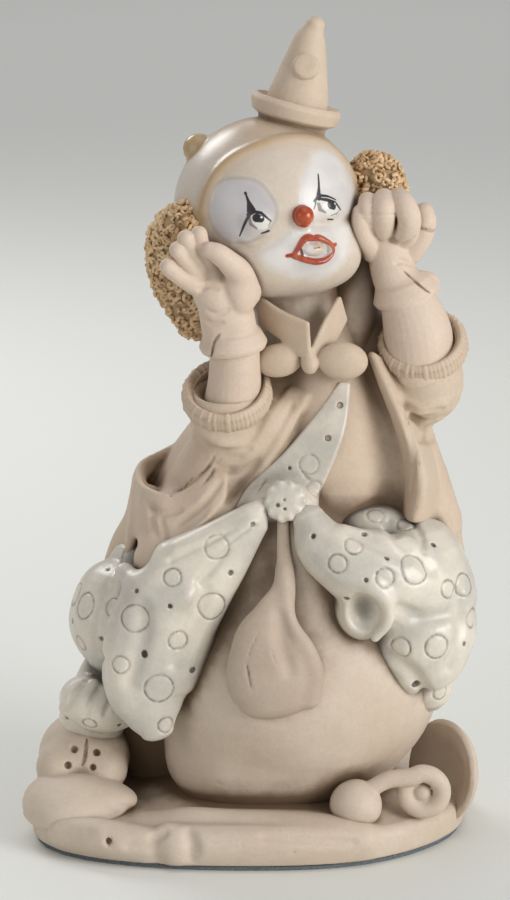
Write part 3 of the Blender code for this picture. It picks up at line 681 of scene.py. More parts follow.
clay = Clay((-34, -14, 16), (56, 44, 84), 0.7)
clay.add(ball((9, 14, 60), (39, 25, 20)))
clay.add(ball((-20, 14, 52), (14, 20, 16)), 4)
clay.add(ball((36, 6, 62), (17, 24, 22)), 4)
clay.add(ball((10, 14, 30), (30, 22, 20)), 4)
clay.add(limb([(-22, 26, 44, 6), (-4, 32, 36, 7), (16, 33, 35, 7.5), (36, 24, 42, 6.5)]), 4)
pressed(clay, [(-24, 56, 3.0, 180), (-8, 49, 3.6, 180), (10, 53, 2.4, 180), (24, 47, 3.6, 180),
               (-34, 45, 2.4, 180), (-16, 40, 0.7, 180), (2, 42, 0.7, 180), (16, 40, 2.2, 180),
               (32, 56, 2.4, 180), (-30, 34, 3.2, 180), (-12, 30, 2.3, 180), (6, 31, 3.4, 180),
               (24, 34, 0.7, 180), (-2, 56, 0.7, 180), (16, 60, 0.7, 180), (-20, 22, 3.2, 180),
               (-6, 20, 0.7, 180), (12, 22, 2.4, 180), (-24, 52, 3.4, 250), (-10, 40, 2.4, 250),
               (-30, 34, 2.8, 250), (-18, 26, 0.7, 250), (-4, 28, 3.2, 250)], glaze)
cast("trousers_back", clay, glaze, 30000)

clay = Clay((-48, -44, 22), (6, 14, 92), 0.36)
clay.add(limb([(-28.5, -6, 66, 9), (-31, -8, 60, 13.8), (-31.5, -9, 52, 14.8), (-31, -10, 42, 9)],
              flat=1.25))
clay.add(limb([(0, -27.5, 84, 3.6), (-8, -28, 75.5, 7.4), (-15, -28, 68.5, 10.6),
               (-20.3, -27.5, 62, 12.6), (-23.4, -27, 55, 13.2), (-25.4, -27, 48, 12.8),
               (-26.2, -27.5, 41, 10.6), (-25.2, -28.5, 35.5, 7.2), (-24, -29, 31.5, 4.2)],
              flat=0.55, sides=44), 1.0)
clay.add(limb([(-32, -22, 70, 2.4), (-25, -30.5, 66, 2.8), (-17, -33, 67, 2.4)]), 3)
clay.add(limb([(-18, -29, 77, 2.2), (-8, -31, 79.5, 2.0), (-1, -29.5, 84, 1.6)]), 2)
creased(clay, [[(0.6, 83.4), (-6.0, 78.2), (-13.6, 70.4)], [(-5.0, 83.2), (-12.5, 79.4), (-20.5, 75.2)]],
        1.0, 0.2, 1.6)
creased(clay, [[(-36, 66), (-38.5, 57), (-37.5, 47)], [(-27, 64), (-27.5, 56), (-30.6, 45)],
               [(-12, 68), (-14.6, 60), (-19.4, 50)]], 1.3, -0.3, 3.0)
clay.add(limb([(2.0, -26.0, 87.6, 2.4), (-3.4, -27.0, 83.2, 4.0), (-11, -26.8, 77.6, 5.6),
               (-20, -25, 73, 6)], flat=0.8), 3.0)
pressed(clay, [(-29.9, 72.5, 3.4), (-20.1, 71.5, 2.2), (-35, 61.9, 2.3), (-29.2, 61, 3.4), (-42.1, 61, 3.3),
               (-18.7, 55.7, 2.4), (-32.9, 49.3, 2.2), (-23.4, 43.5, 3.6), (-10.4, 63.9, 3.4),
               (-21.8, 33.6, 2.0), (-9.2, 78.6, 3.0), (-43.2, 51, 2.0), (-28.9, 67.8, 0.6),
               (-20.6, 64.6, 0.65), (-27, 52.2, 0.95), (-15.1, 47.7, 0.85), (-5.8, 72.2, 0.7),
               (-37.8, 53.6, 0.6), (-0.4, 83.9, 0.75), (-36.3, 69.4, 0.5), (-37.0, 71.2, 0.5),
               (12, 62, 3.0, 270), (-2, 55, 2.2, 270), (6, 49, 0.7, 270), (-6, 66, 2.6, 270),
               (2, 69, 0.7, 270), (14, 47, 2.6, 270), (16, 56, 0.7, 270)], glaze)
cast("trousers_left", clay, glaze, 92000)

clay = Clay((-54, -32, 22), (-20, 10, 50), 0.36)
clay.add(limb([(-36, -8, 40, 8), (-41, -6, 28, 8.5)]))
clay.add(ball((-38.6, -15, 34.8), (10.4, 10, 7), (0, 12, 0)), 1.0)
clay.add(limb([(-47.4, -18.0, 34, 1.3), (-45.4, -20.2, 37.4, 1.6), (-42.8, -19.6, 40.8, 1.3)]), 1.4)
clay.add(limb([(-43.2, -22.0, 34.6, 1.2), (-41.4, -22.0, 38.0, 1.6), (-39.8, -20.0, 41.0, 1.3)]), 1.4)
clay.add(limb([(-38.6, -23.0, 35.0, 1.2), (-37.2, -22.0, 38.0, 1.4), (-36.0, -20, 40.6, 1.2)]), 1.4)
creased(clay, [[(-46.8, 34.6), (-44.9, 38.6), (-42.8, 41.0)], [(-42.0, 34.0), (-40.4, 37.8), (-38.6, 40.2)],
               [(-37.2, 34.2), (-35.9, 37.4)]], 0.6, 0.2, 1.0)
pressed(clay, [(-41, 31.6, 1.8), (-47.2, 30.2, 0.8), (-33.5, 31, 0.6), (-4, 33, 2.4, 270),
               (4, 36, 0.7, 270)], glaze)
cast("trouser_leg", clay, glaze, 28000)

clay = Clay((8, -44, 28), (60, 22, 92), 0.36)
clay.add(limb([(40, -16, 66, 13.5), (40.3, -16, 55, 14.8), (41.0, -15.4, 48.5, 13.2), (42.2, -14, 43.5, 10),
               (42.6, -13.5, 41, 7)], flat=1.25, sides=44))
clay.add(ball((36, 6, 62), (17, 22, 20)), 4)
clay.add(ball((26.0, -27, 63), (7.2, 10, 8.6)), 1.5)
clay.add(limb([(13.2, -28, 84.5, 4.2), (16.2, -30.6, 79.4, 6.9), (22.2, -32, 75.4, 8.8), (31, -29, 70.6, 12),
               (42, -20, 62, 14)], flat=0.85), 1.5)
clay.add(ball((29.5, -14, 80.5), (9.5, 8, 5)), 2)
clay.carve(ball((26.2, -41.4, 62.8), (5.4, 8.4, 6.8), (0, -8, 0)), 1.4)
clay.add(limb([(17.2, -34.5, 74.4, 1.6), (22.4, -37.4, 72.2, 2.0), (28.4, -38.6, 70.6, 2.0),
               (32.0, -38.2, 66.4, 1.7), (32.0, -36.8, 61.2, 1.4), (29.2, -35.4, 57.0, 1.1)]), 1.8)
creased(clay, [[(24.0, 83.0), (30.5, 80.2), (36.4, 77.2)], [(33.0, 82.4), (38.6, 78.2), (43.0, 73.4)],
               [(34.8, 64.6), (40.4, 61.6), (47.6, 61.8)], [(33.0, 51.6), (38.4, 47.0), (42.0, 40.0)],
               [(49.6, 66), (50.6, 57), (47.4, 48)]], 1.2, 0.0, 3.0)
creased(clay, [[(37.6, 84), (40.4, 80.2), (41.2, 77.4)]], 0.7, 0.2, 1.4)
pressed(clay, [(19.8, 76.3, 2.3), (31.3, 72.9, 2.3), (38.8, 74.2, 3.7), (35.3, 53.8, 2.6), (44.3, 54.1, 3.0),
               (46, 38.9, 2.0), (23.8, 80.6, 2.2), (36.9, 81.6, 2.2), (53.2, 59.1, 2.4), (51.3, 68.1, 2.9),
               (47.1, 68, 2.2), (29.5, 84, 2.2), (31.8, 77.4, 0.7), (43.5, 78.1, 0.75),
               (26.7, 72.6, 0.65), (28.3, 53.2, 0.85), (39.5, 43.4, 1.1), (51.4, 53.4, 0.6), (14, 82.2, 0.7),
               (26.4, 82.4, 0.7), (22.1, 66.8, 0.8), (24.4, 87, 0.6), (-14, 66, 3.0, 90), (-2, 58, 2.2, 90),
               (8, 68, 3.2, 90), (-8, 50, 0.7, 90), (4, 49, 2.6, 90), (14, 56, 0.7, 90), (0, 74, 0.7, 90)],
        glaze)
cast("trousers_right", clay, glaze, 100000)


# Shoe
# One big clown's shoe shows under the trouser leg: a domed toe cap on a thick sole, and an upper that is
# open in the middle, with four lace holes. It is bare bisque, cast with the base.
def turned(outline, foot, axis, sides=48, closed=False):
    """A shape turned about an axis: outline of radius and height, from a foot point."""
    lean = leaning(axis)
    angles = round_angles(sides)
    outline = list(outline) + ([outline[0]] if closed else [])
    rings = [np.stack([r * np.cos(angles), r * np.sin(angles), np.full(sides, h)], axis=1) @ lean.T + foot
             for r, h in outline]
    return loft(rings, capped=not closed)


clay = Clay((-62, -36, 4), (-26, 12, 34), 0.36)
clay.add(ball((-43.2, -5, 18), (11.6, 12.5, 11.5)))
clay.add(turned([(12.4, 0), (13.4, 1.2), (13.0, 3)], (-44.6, -18, 6.0), (0, 0, 1)), 0.5)
clay.add(ball((-48.6, -12.4, 17.2), (6.4, 6.4, 6.4), (0, 10, 10)), 1.5)
clay.add(ball((-38.6, -12.0, 16.6), (6.6, 6.4, 6.2), (0, -10, -10)), 1.5)
clay.add(ball((-44.8, -18.4, 9.8), (13.4, 13.6, 7.8), (6, 2, -8)), 0.5)
clay.add(ball((-35.6, -20.4, 12.2), (6.4, 5.6, 3.2), (0, 12, 0)), 1.6)
clay.add(limb([(-56, -22, 8.2, 1.0), (-50, -30, 7.6, 1.1), (-42, -31.6, 7.8, 1.1), (-34.5, -27, 9.2, 1.0),
               (-31.4, -21.5, 11.2, 0.8)], face=(0, 0, 1)), 0.7)
scored(clay, [[(-42.0, 25.4), (-42.4, 21.6), (-43.2, 19.0)]], 0.5, 0.2)
pressed(clay, [(-45.2, 23.0, 0.95), (-39.5, 22.2, 0.95), (-46.6, 19.4, 0.95), (-40.5, 18.8, 0.85)], bisque)
cast("shoe", clay, bisque, 28000)


# Jacket and shirt
# The shirt is tight over the belly. The open jacket spreads to the sides: its left side flares into a
# pouch with a rolled rim, its right lapel stands away from the belly, and both are plain bisque.
def sheet(rows, steps=6):
    """An open sheet through rows of points, smooth both ways. It is added with a swell."""
    lengthwise = np.array([smooth_line(row, steps) for row in rows])
    grid = np.array([smooth_line(lengthwise[:, i], steps) for i in range(lengthwise.shape[1])])
    m, n = grid.shape[:2]
    i, j = (a.ravel() for a in np.meshgrid(np.arange(m - 1), np.arange(n - 1), indexing="ij"))
    first = i * n + j
    return grid.reshape(-1, 3), np.stack([first, first + 1, first + n + 1, first + n], 1)


def laid_on(clay, one_side, other_side, above):
    """A strip that lies on the front of the clay, between two lines of x and z."""
    rows = []
    for one, other in zip(np.array(one_side), np.array(other_side)):
        row = [one + (other - one) * t for t in (0, 0.5, 1)]
        rows.append([(x, clay.front(x, z) - above, z) for x, z in row])
    return sheet(rows)


clay = Clay((-38, -32, 58), (60, 46, 134), 0.5)
clay.add(ball((10, 14, 62), (36, 22, 16)))
clay.add(limb([(12, 12, 118, 12), (11, 16, 104, 18), (8, 20, 90, 25), (6, 23, 78, 28)], flat=0.5), 4)
clay.add(sheet([
    [(-1, 6, 119), (5, 12, 121), (13, 14, 121), (21, 12.5, 120), (29, 7, 118)],
    [(-11, 5, 105), (-2, 16, 105), (11, 20.5, 105), (25, 17, 105), (38, 5, 105)],
    [(-18, 5, 93), (-7, 21, 93), (10, 27, 93), (28, 23, 93), (43, 5, 93)],
    [(-25, 8, 81), (-10, 28, 81), (10, 34, 81), (31, 29, 81), (47.5, 6, 81)],
    [(-30, 11, 69), (-12, 34, 69), (10, 40, 69), (34, 34, 69), (50.5, 8, 69)]]), 2, swell=1.3)
for foot, top in (((-16, 31.5, 70), (-5, 18, 104)), ((10, 41, 70), (11, 21.5, 108)),
                  ((32, 34.5, 70), (24, 18.5, 104))):
    middle = (np.array(foot) + top) / 2 - (0, -0.6, 0)
    clay.add(limb([(*foot, 3.0), (*middle, 2.2), (*top, 1.0)]), 2.5)
clay.add(limb([(14, 3, 118, 15), (12, 3, 104, 22), (9, 3, 92, 28.5), (6, 4, 80, 33)], flat=0.8, sides=48), 3)
clay.add(limb([(14, 2, 127, 10.5), (26, 4, 124, 9), (34, 2, 118, 8)]), 3)
clay.carve(limb([(27, -24, 118, 3), (28, -25, 106, 9.5), (27, -26, 93, 13)], flat=0.9), 1.0)
clay.add(limb([(17, -1, 120, 10.5), (19.5, -3.5, 106, 14.5), (19, -5, 92, 16.2)], flat=0.95, sides=48), 1.5)
clay.add(limb([(34, -2, 112, 6), (38, -4, 100, 6.5), (41, -3, 90, 7), (44, -2, 78, 8)]), 3)
clay.add(limb([(31, -6, 119, 3.4), (33, -8.5, 107, 4.8), (34.4, -9, 96, 5.4), (34.6, -9, 85, 5.4)]), 3)
clay.add(sheet([
    [(29.4, -7, 121), (28.8, -14, 122.5), (33, -9, 119)],
    [(32, -6, 110), (32, -17, 115.8), (37, -9, 112)],
    [(33.4, -5, 104), (36.2, -20, 106.5), (40, -9, 104)],
    [(34.6, -5, 96), (39.4, -21.4, 98.2), (43, -9, 97)],
    [(35, -5, 89), (40.4, -21.6, 90.7), (44.6, -9, 89)],
    [(35, -6, 82), (39, -21, 83.2), (45, -9, 81)]]), 0.8, swell=0.95)
clay.add(limb([(45.6, 0, 91, 2.2), (47, 0, 84, 2.6), (48.6, 0, 76, 3), (50, 0, 68, 3)]), 1.5)
clay.add(limb([(2, -8, 104, 11.5), (-8, -10, 94, 10.5), (-14, -8, 84, 9.5), (-18, -6, 76, 9)], flat=0.9), 3)
clay.add(sheet([
    [(-6.6, -17, 97.9), (-10.3, -18.5, 95), (-14.2, -19.5, 91.2), (-18.9, -19.5, 88), (-23.3, -18, 88.3),
     (-27.6, -14, 89.4), (-29, -8, 90.9), (-28, -2, 92.9), (-23.3, 2.5, 94.6), (-17.3, 4, 97.4)],
    [(-7.6, -21, 92), (-11.4, -22, 89.4), (-15, -22, 86.2), (-19.2, -22, 83.6), (-23.4, -20.5, 83.4),
     (-27.8, -15.5, 84), (-29.2, -8, 85), (-28.6, 0, 86.5), (-24, 5.5, 87), (-17, 8, 88)],
    [(-8.1, -24, 86.6), (-12.2, -24.5, 84), (-15.9, -24.5, 81), (-19.8, -24, 79), (-24, -22.5, 77.6),
     (-28, -17, 77.6), (-30, -8, 78.5), (-29.6, 2, 79), (-25, 8.5, 79.5), (-18, 12, 80)]]), 0.6, swell=0.95)
clay.add(limb([(-11, -17, 83, 8), (-19, -12, 80, 9)]), 2)
clay.add(limb([(-2, -21, 81, 6), (-12, -21, 75, 7.5), (-22, -19, 72, 8)]), 2)
edge = [(8.8, 113.4), (3.6, 107.4), (-1.6, 98.5), (-6.4, 91.4), (-11.0, 85.0), (-17.0, 79.6)]
hem = [(12.6, 112.4), (8.2, 104.7), (3.2, 97.4), (-2.0, 90.6), (-8.4, 83.8), (-19.2, 77.0)]
clay.add(laid_on(clay, edge, hem, 0.3), 1.4, swell=0.7)
clay.add(limb([(-26, -7, 86, 2.6), (-27.2, -5, 79, 4.4), (-30.2, -3, 73, 5.6), (-32, -2, 67, 6)]), 1.5)
clay.add(sheet([[(-20, 14, 90), (-24, 7, 90), (-28.4, -1, 90), (-28.8, -9, 88)],
                [(-25, 16, 80), (-29, 9, 80), (-31, 0, 80), (-30, -12, 79)],
                [(-29, 17, 69.6), (-32.6, 9, 69), (-33.4, 0, 69.6), (-31, -12, 72.5)]]), 2.5, swell=1.3)
clay.add(limb([(5, 2, 116, 9), (-3, -5, 106, 9.4), (-6.6, -11.5, 105.5, 9.2), (-6.9, -13.5, 110.5, 9)],
              face=(1, 0, 0.2)), 2)
clay.add(limb([(28, 3, 119, 9.5), (38, -2, 112.5, 9.4), (42, -7, 114, 9.4), (41.4, -8, 120, 9.2)],
              face=(1, 0, 0.2)), 2)
clay.carve(ball((-7.2, -16, 118), (9.4, 9.0, 7.5)), 0.6)
clay.carve(ball((41.0, -11, 129), (9.4, 9.0, 7.5)), 0.6)
clay.add(limb([(-14.4, -17.2, 106, 1.0), (-8, -20.0, 101.6, 1.1), (-1, -18.4, 101, 1.0),
               (3.4, -13, 104, 0.8)]), 2.4)
clay.add(limb([(34.8, -11.6, 113, 1.2), (40, -16, 109.4, 1.4), (46, -14.4, 110.5, 1.2)]), 1.6)
creased(clay, [[(-16.0, 106.2), (-12.8, 102.0), (-8, 100.0), (-1.6, 100.6)],
               [(-9, 96.0), (-4, 95.0), (0.2, 97.4)], [(35.4, 112.2), (39.5, 109.0), (46, 109.2)],
               [(37.6, 108.2), (42.0, 105.4), (47.0, 106.4)],
               [(40.0, 102.6), (43.6, 100.4), (47.6, 101.4)]], 0.8, 0.1, 1.4)
creased(clay, [[(-25.4, 86.4), (-25.2, 82), (-23.2, 77.6)], [(-23.0, 83.0), (-22.0, 79.4), (-20.6, 77.0)],
               [(-27.0, 86.6), (-23.5, 84.8), (-18.4, 85.6)], [(-8.4, 92.6), (-13, 87.4), (-18.8, 82.4)],
               [(36.8, 110), (38.6, 100), (38.2, 90)]], 0.7, 0.1, 1.2)
creased(clay, [[(9.2, 110.6), (5.0, 103.4), (0.2, 96.2), (-5.0, 89.8), (-10.8, 83.8), (-18.6, 79.2)]],
        0.6, 0.1, 1.2)
scored(clay, [[(-14.2, 92.8), (-11.6, 95.6), (-9.6, 99.0)], [(-13.0, 91.6), (-10.6, 94.4), (-8.4, 98.0)],
              [(-21.2, 88.3), (-17.9, 89.8), (-15.4, 92.5)]], 0.4, 0.1)
scored(clay, [[(34.4, 113.2), (38.4, 104.4), (40.2, 96.4), (40.0, 88.4), (38.6, 83.6)]], 0.3, 0.0)
scored(clay, [[(50.3, 86), (51.8, 80), (52.4, 75)], [(46.3, 95.5), (48.6, 90.5)]], 0.4, 0.0)
cloth = bisque_finish("bare_cloth", (0.58, 0.46, 0.35, 1), (0.50, 0.365, 0.25, 1))[0]
cast("jacket_and_shirt", clay, cloth, 100000)
jacket_clay = clay


# Brace and rosette
# A broad polka-dot brace comes down from under the bow tie and ends in a ruffled rosette at the waist.
# Both have the trousers' pearly glaze, laid on over the shirt.
def wavy_disc(outline, foot, axis, waves, depth, sides=120):
    """A disc turned about an axis, its outline of radius, height and share of waving, ruffled all round."""
    lean = leaning(axis)
    angles = round_angles(sides)
    rings = []
    for radius, height, share in outline:
        wave = 1 + depth * share * np.sin(waves * angles) + depth * share * 0.5 * np.sin(3 * angles + 1)
        lift = height + share * 0.5 * np.cos(waves * angles + 0.6)
        reach = radius * wave
        rings.append(np.stack([reach * np.cos(angles), reach * np.sin(angles), lift], 1) @ lean.T + foot)
    return loft(rings)


clay = Clay((-10, -36, 76), (28, -8, 120), 0.36)
left = [(21.0, 115.3), (14.4, 106.5), (7.8, 98.9), (-0.4, 91.6), (-4.0, 86.6)]
right = [(22.7, 115.3), (21.7, 106.7), (19.2, 98.9), (15.8, 91.1), (12.6, 84.6)]
clay.add(laid_on(jacket_clay, left, right, 0.1), 0.3, swell=0.8)
clay.add(ball((6.6, -22, 87), (9, 5.6, 5.6)), 2.0)
clay.add(limb([(1, -25.5, 84.5, 2.2), (-3, -26.5, 83, 2.0), (-8, -27, 79, 1.8)]), 1.5)
clay.add(wavy_disc([(3.2, -3, 0), (4.9, -1.8, 0.7), (5.3, -0.4, 1), (4.7, 0.5, 0.8), (3.9, 0.7, 0.2),
                    (2.4, 1.1, 0)], (7.3, -28.2, 89.4), (-0.02, -0.97, 0.2), 10, 0.045), 0.4)
scored(clay, [[(2.6, 93), (0.6, 90.6)], [(11.6, 94.4), (13.6, 92.6)]], 0.4, 0.0)
pressed(clay, [(13.2, 96.6, 2.4), (20.8, 110.8, 0.8), (17.8, 103, 0.75), (14.4, 90.7, 1.9), (8.4, 95.6, 0.5),
               (5.5, 88.6, 0.55), (7.1, 89.8, 0.4), (7.2, 87.7, 0.45)], glaze, 0.3)
cast("brace_and_rosette", clay, glaze, 30000)


# Cuffs
# Each sleeve ends in a thick turned-back cuff of ribbed knit, a ring that stands open round the arm.
# The ribs were pressed in one by one, so here a groove is repeated round the ring.
CUFF_OUTLINE = ((7.8, -4.0), (10.2, -4.2), (11.4, -1.8), (11.2, 1.2), (9.8, 2.8), (8.0, 1.6))
CUFF_ROOM = 15
RIBS = 58


def ring_of_grooves_tree():
    """One cross-section line, swept round and repeated about the Z axis."""
    tree, given, end = geometry_tree("ring_of_grooves", [("Count", "Int"), ("Groove", "Float"),
                                                         ("Finish", "Material")])
    line = added(tree, "GeometryNodeMeshToCurve", {"Mesh": given["Geometry"]}).outputs[0]
    profile = added(tree, "GeometryNodeCurvePrimitiveCircle", {"Resolution": 8, "Radius": given["Groove"]})
    groove = added(tree, "GeometryNodeCurveToMesh", {"Curve": line, "Profile Curve": profile.outputs[0],
                                                     "Fill Caps": True}).outputs[0]
    places = added(tree, "GeometryNodePoints", {"Count": given["Count"]}).outputs[0]
    step = maths(tree, "DIVIDE", math.tau, given["Count"])
    turn = times(tree, added(tree, "GeometryNodeInputIndex").outputs[0], step)
    wobble = added(tree, "FunctionNodeRandomValue", {2: -0.035, 3: 0.035, "Seed": 7}).outputs[1]
    angle = added(tree, "ShaderNodeCombineXYZ", {2: maths(tree, "ADD", turn, wobble)}).outputs[0]
    grooves = added(tree, "GeometryNodeInstanceOnPoints", {"Points": places, "Instance": groove,
                                                           "Rotation": angle}).outputs[0]
    whole = added(tree, "GeometryNodeRealizeInstances", {"Geometry": grooves}).outputs[0]
    dressed = added(tree, "GeometryNodeSetMaterial", {"Geometry": whole, "Material": given["Finish"]})
    tree.links.new(dressed.outputs[0], end)
    return tree


ring_of_grooves = ring_of_grooves_tree()


def ribbed_cuff(name, centre, axis):
    """The ring round the arm, with its ribs pressed into the rim and down the band."""
    clay = Clay(np.array(centre) - CUFF_ROOM, np.array(centre) + CUFF_ROOM, 0.25)
    clay.add(turned(CUFF_OUTLINE, centre, axis, closed=True))
    clay.keep_unmarked()
    clay.mark_share = 0.45
    section = smooth_line([(7.9, 1.4), (8.6, 2.5), (9.8, 3.0), (11.2, 1.5), (11.6, -1.2), (11.0, -3.4),
                           (9.9, -4.6)], 4)
    line = bpy.data.meshes.new("cross_section")
    edges = [(i, i + 1) for i in range(len(section) - 1)]
    line.from_pydata([(r * MM, 0, h * MM) for r, h in section], edges, [])
    tools = put_in("grooves", line)
    grown(tools, ring_of_grooves, {"Count": RIBS, "Groove": 0.55 * MM, "Finish": cloth})
    points, faces = read_mesh(tools.data)
    bpy.data.objects.remove(tools)
    clay.carve(as_form(points @ leaning(axis).T + centre, faces), 0.25)
    cast(name, clay, cloth, 38000)


ribbed_cuff("left_cuff", (-6.9, -14, 113.3), (-0.08, -0.58, 0.81))
ribbed_cuff("right_cuff", (41.2, -9, 124.6), (-0.12, -0.6, 0.79))


# Gloved hands
# Each forearm stands in its cuff and ends in a short flared glove; the chubby hand is cupped at the head
# with the palm to the front. All of it is smooth bare bisque, a little pinker than the cloth.
bare_skin = bisque_finish("bare_skin", (0.64, 0.51, 0.405, 1), (0.58, 0.44, 0.33, 1), cloudiness=0.35)[0]
GLOVE_OUTLINE = ((5.2, 3.6), (7.0, 2.2), (8.4, -0.8), (7.8, -2.2), (6.2, -1.6))


def fingers(clay, rows_of_each, blend=0.2):
    """Fingers side by side, each through rows of x, y, z and half-width."""
    for rows in rows_of_each:
        clay.add(limb(rows, face=(0.3, -0.2, 1), sides=20), blend)


clay = Clay((-26, -34, 102), (8, -6, 158), 0.3)
clay.add(limb([(-6.0, -13.5, 108, 7.4), (-5.0, -15, 116, 6.6), (-5.0, -17.4, 126, 6.0),
               (-5.6, -18.8, 133, 5.6)]))
clay.add(turned(GLOVE_OUTLINE, (-5.4, -17.4, 127.0), (-0.1, -0.15, 1), closed=True), 0.5)
clay.add(ball((-9.8, -20.4, 139.4), (5.4, 4.4, 5.2)), 1.2)
clay.add(ball((-3.9, -21.2, 140.0), (4.2, 4.6, 6.4), (0, -10, 0)), 0.8)
clay.add(limb([(-8.2, -19, 131, 5.0), (-8.6, -19.6, 137, 5.4)]), 1.2)
clay.add(ball((-9.8, -19.2, 143.4), (4.0, 3.0, 4.6), (0, -20, 0)), 1.0)
fingers(clay, [
    [(-2.2, -20.8, 139.5, 3.8), (-3.8, -23.2, 144.4, 3.4), (-6.6, -25.6, 147.8, 2.8),
     (-9.0, -26.4, 149.8, 2.5), (-10.8, -26.4, 150.6, 2.1)]], 0.8)
fingers(clay, [
    [(-10.1, -20.2, 145.4, 2.6), (-11.5, -22.4, 148.7, 2.3), (-12.6, -24.0, 151.1, 1.85),
     (-13.4, -24.4, 154.2, 2.0)],
    [(-11.8, -20.0, 144.4, 2.7), (-14.0, -22.8, 147.9, 2.3), (-15.3, -24.2, 150.4, 1.85),
     (-16.6, -25.2, 153.2, 2.15)],
    [(-12.8, -20.2, 143.2, 2.7), (-15.4, -23.2, 145.9, 2.3), (-17.1, -24.6, 148.1, 1.85),
     (-18.6, -25.4, 150.5, 2.1)],
    [(-12.4, -20.8, 140.4, 3.0), (-16.2, -22.8, 142.6, 2.5), (-18.7, -24.2, 144.2, 2.1),
     (-20.9, -25.2, 146.4, 2.1)]])
clay.add(ball((-9.0, -20.2, 144.6), (3.6, 2.8, 4.2)), 1.0)
creased(clay, [[(-13.4, 140.6), (-11.2, 141.6), (-9.2, 141.0)],
               [(-6.6, 135.6), (-9.2, 134.6), (-11.6, 135.6)],
               [(-8.0, 132.6), (-10.6, 132.2), (-12.4, 133.4)]], 0.5, 0.1, 0.9)
scored(clay, [[(-8.6, 129.6), (-10.0, 127.4), (-10.7, 123.6)]], 0.45, 0.15)
cast("left_hand", clay, bare_skin, 46000)

clay = Clay((22, -22, 112), (52, 4, 166), 0.3)
clay.add(limb([(41, -9.4, 119, 8.4), (39.8, -9.0, 128, 8.4), (37, -8, 136.4, 6.6), (34.2, -7.4, 141.5, 5.6),
               (32.8, -7, 147, 5.4)]))
clay.add(turned(GLOVE_OUTLINE, (36.8, -7.6, 137.6), (-0.3, -0.05, 0.95), closed=True), 0.5)
clay.add(limb([(39.2, -9.0, 141.2, 1.6), (43.0, -6.6, 139.8, 2.2), (43.6, -5.6, 137.4, 1.8)]), 0.5)
clay.add(ball((32.4, -7.2, 149.6), (6.2, 4.6, 5.0)), 1.2)
clay.add(ball((37.6, -6.4, 152.6), (5.0, 3.4, 6.4), (0, 8, 0)), 1.0)
fingers(clay, [
    [(29.6, -8, 151.4, 2.8), (27.9, -11, 154.8, 2.6), (27.2, -13.0, 158.0, 2.5), (27.4, -10.4, 160.2, 2.3)],
    [(31.6, -9, 151.8, 2.8), (31.3, -12.8, 155.4, 2.8), (31.3, -14.0, 158.6, 2.9),
     (31.4, -10.4, 160.8, 2.6)],
    [(36.0, -9, 150.8, 3.0), (37.2, -12.4, 153.6, 3.0), (37.4, -13.6, 156.6, 3.0), (36.2, -13.2, 159.6, 2.9),
     (35.0, -9, 160.8, 2.6)],
    [(37.6, -6, 147.2, 3.6), (40.2, -7.6, 151.0, 3.3), (41.6, -8.6, 154.6, 2.8), (41.3, -8, 157.0, 2.5)],
    [(29.0, -8, 147.9, 3.4), (26.5, -11, 151.8, 2.9), (25.6, -12.6, 155.4, 2.6),
     (25.7, -12.4, 157.4, 2.3)]])
clay.add(ball((34.2, -8.6, 155.6), (5.2, 3.6, 6.0)), 0.6)
creased(clay, [[(33.0, 150.8), (35.8, 150.0), (38.6, 151.8)],
               [(38.4, 144.4), (36.2, 145.6), (34.6, 145.2)]], 0.55, 0.15, 0.9)
scored(clay, [[(36.4, 143.2), (39.4, 140.6), (42.8, 138.0)]], 0.42, 0.1)
cast("right_hand", clay, bare_skin, 46000)


# Collar and bow tie
# Two stiff collar wings stand over a bow tie whose two plump lobes look like pebbles, all in bare bisque.
# They were modelled in clay and cast with the rest, and a plain filling joins the cheek to the right sleeve.
clay = Clay((14, -10, 110), (36, 12, 158), 0.6)
clay.add(limb([(26.4, 2, 151, 4.6), (25.8, 1.6, 142, 5.4), (24.6, 1, 132, 6.4), (24, 0, 120, 7.0)]))
cast("clay_below_the_cheek", clay, bisque, 4000)
clay = Clay((-6, -26, 114), (32, -6, 142), 0.4)
clay.add(sheet([[(1, -14, 137), (6, -17, 134), (12.6, -19.5, 131.4)],
                [(1.5, -11, 130), (7, -15.5, 127), (13.2, -18.5, 122)]]), 0.4, swell=0.7)
clay.add(sheet([[(20.5, -13, 136.4), (17, -16, 131), (13.6, -18, 124)],
                [(22, -11, 131), (19, -13.5, 126), (14.4, -16.5, 120.6)]]), 0.4, swell=0.7)
clay.add(ball((21.4, -17.4, 121.9), (6.2, 3.2, 4.7), (0, 4, 0)), 0.3)
clay.add(ball((5.8, -15.6, 121.7), (5.8, 2.8, 4.2), (0, -8, 0)), 1.0)
clay.add(ball((13.4, -17.6, 121.4), (2.2, 2.2, 2.8)), 0.4)
cast("collar_and_bow_tie", clay, cloth, 18000)


# Head
# A round head tipped back and turned a little, in a tight skull cap with a knob on its side. The face is
# a doll's clown make-up: the nose, the lips and the tongue are raised, and everything else is painted.
HEAD = np.array((2.9, -2.0, 156.8))
HEAD_RADIUS = 23.0
NAPE = 137
KNOB = (-14.4, -2, 171.8)
FACE_TURN, FACE_TILT = math.radians(22.1), math.radians(5.7)


def face_way(u, v):
    """The way out of the head's centre at u to the right and v up on the face, in mm round the head."""
    u, v = u / HEAD_RADIUS, v / HEAD_RADIUS
    right, up, out = math.sin(u) * math.cos(v), math.sin(v), math.cos(u) * math.cos(v)
    up, out = (up * math.cos(FACE_TILT) + out * math.sin(FACE_TILT),
               out * math.cos(FACE_TILT) - up * math.sin(FACE_TILT))
    return np.array((right * math.cos(FACE_TURN) + out * math.sin(FACE_TURN),
                     right * math.sin(FACE_TURN) - out * math.cos(FACE_TURN), up))


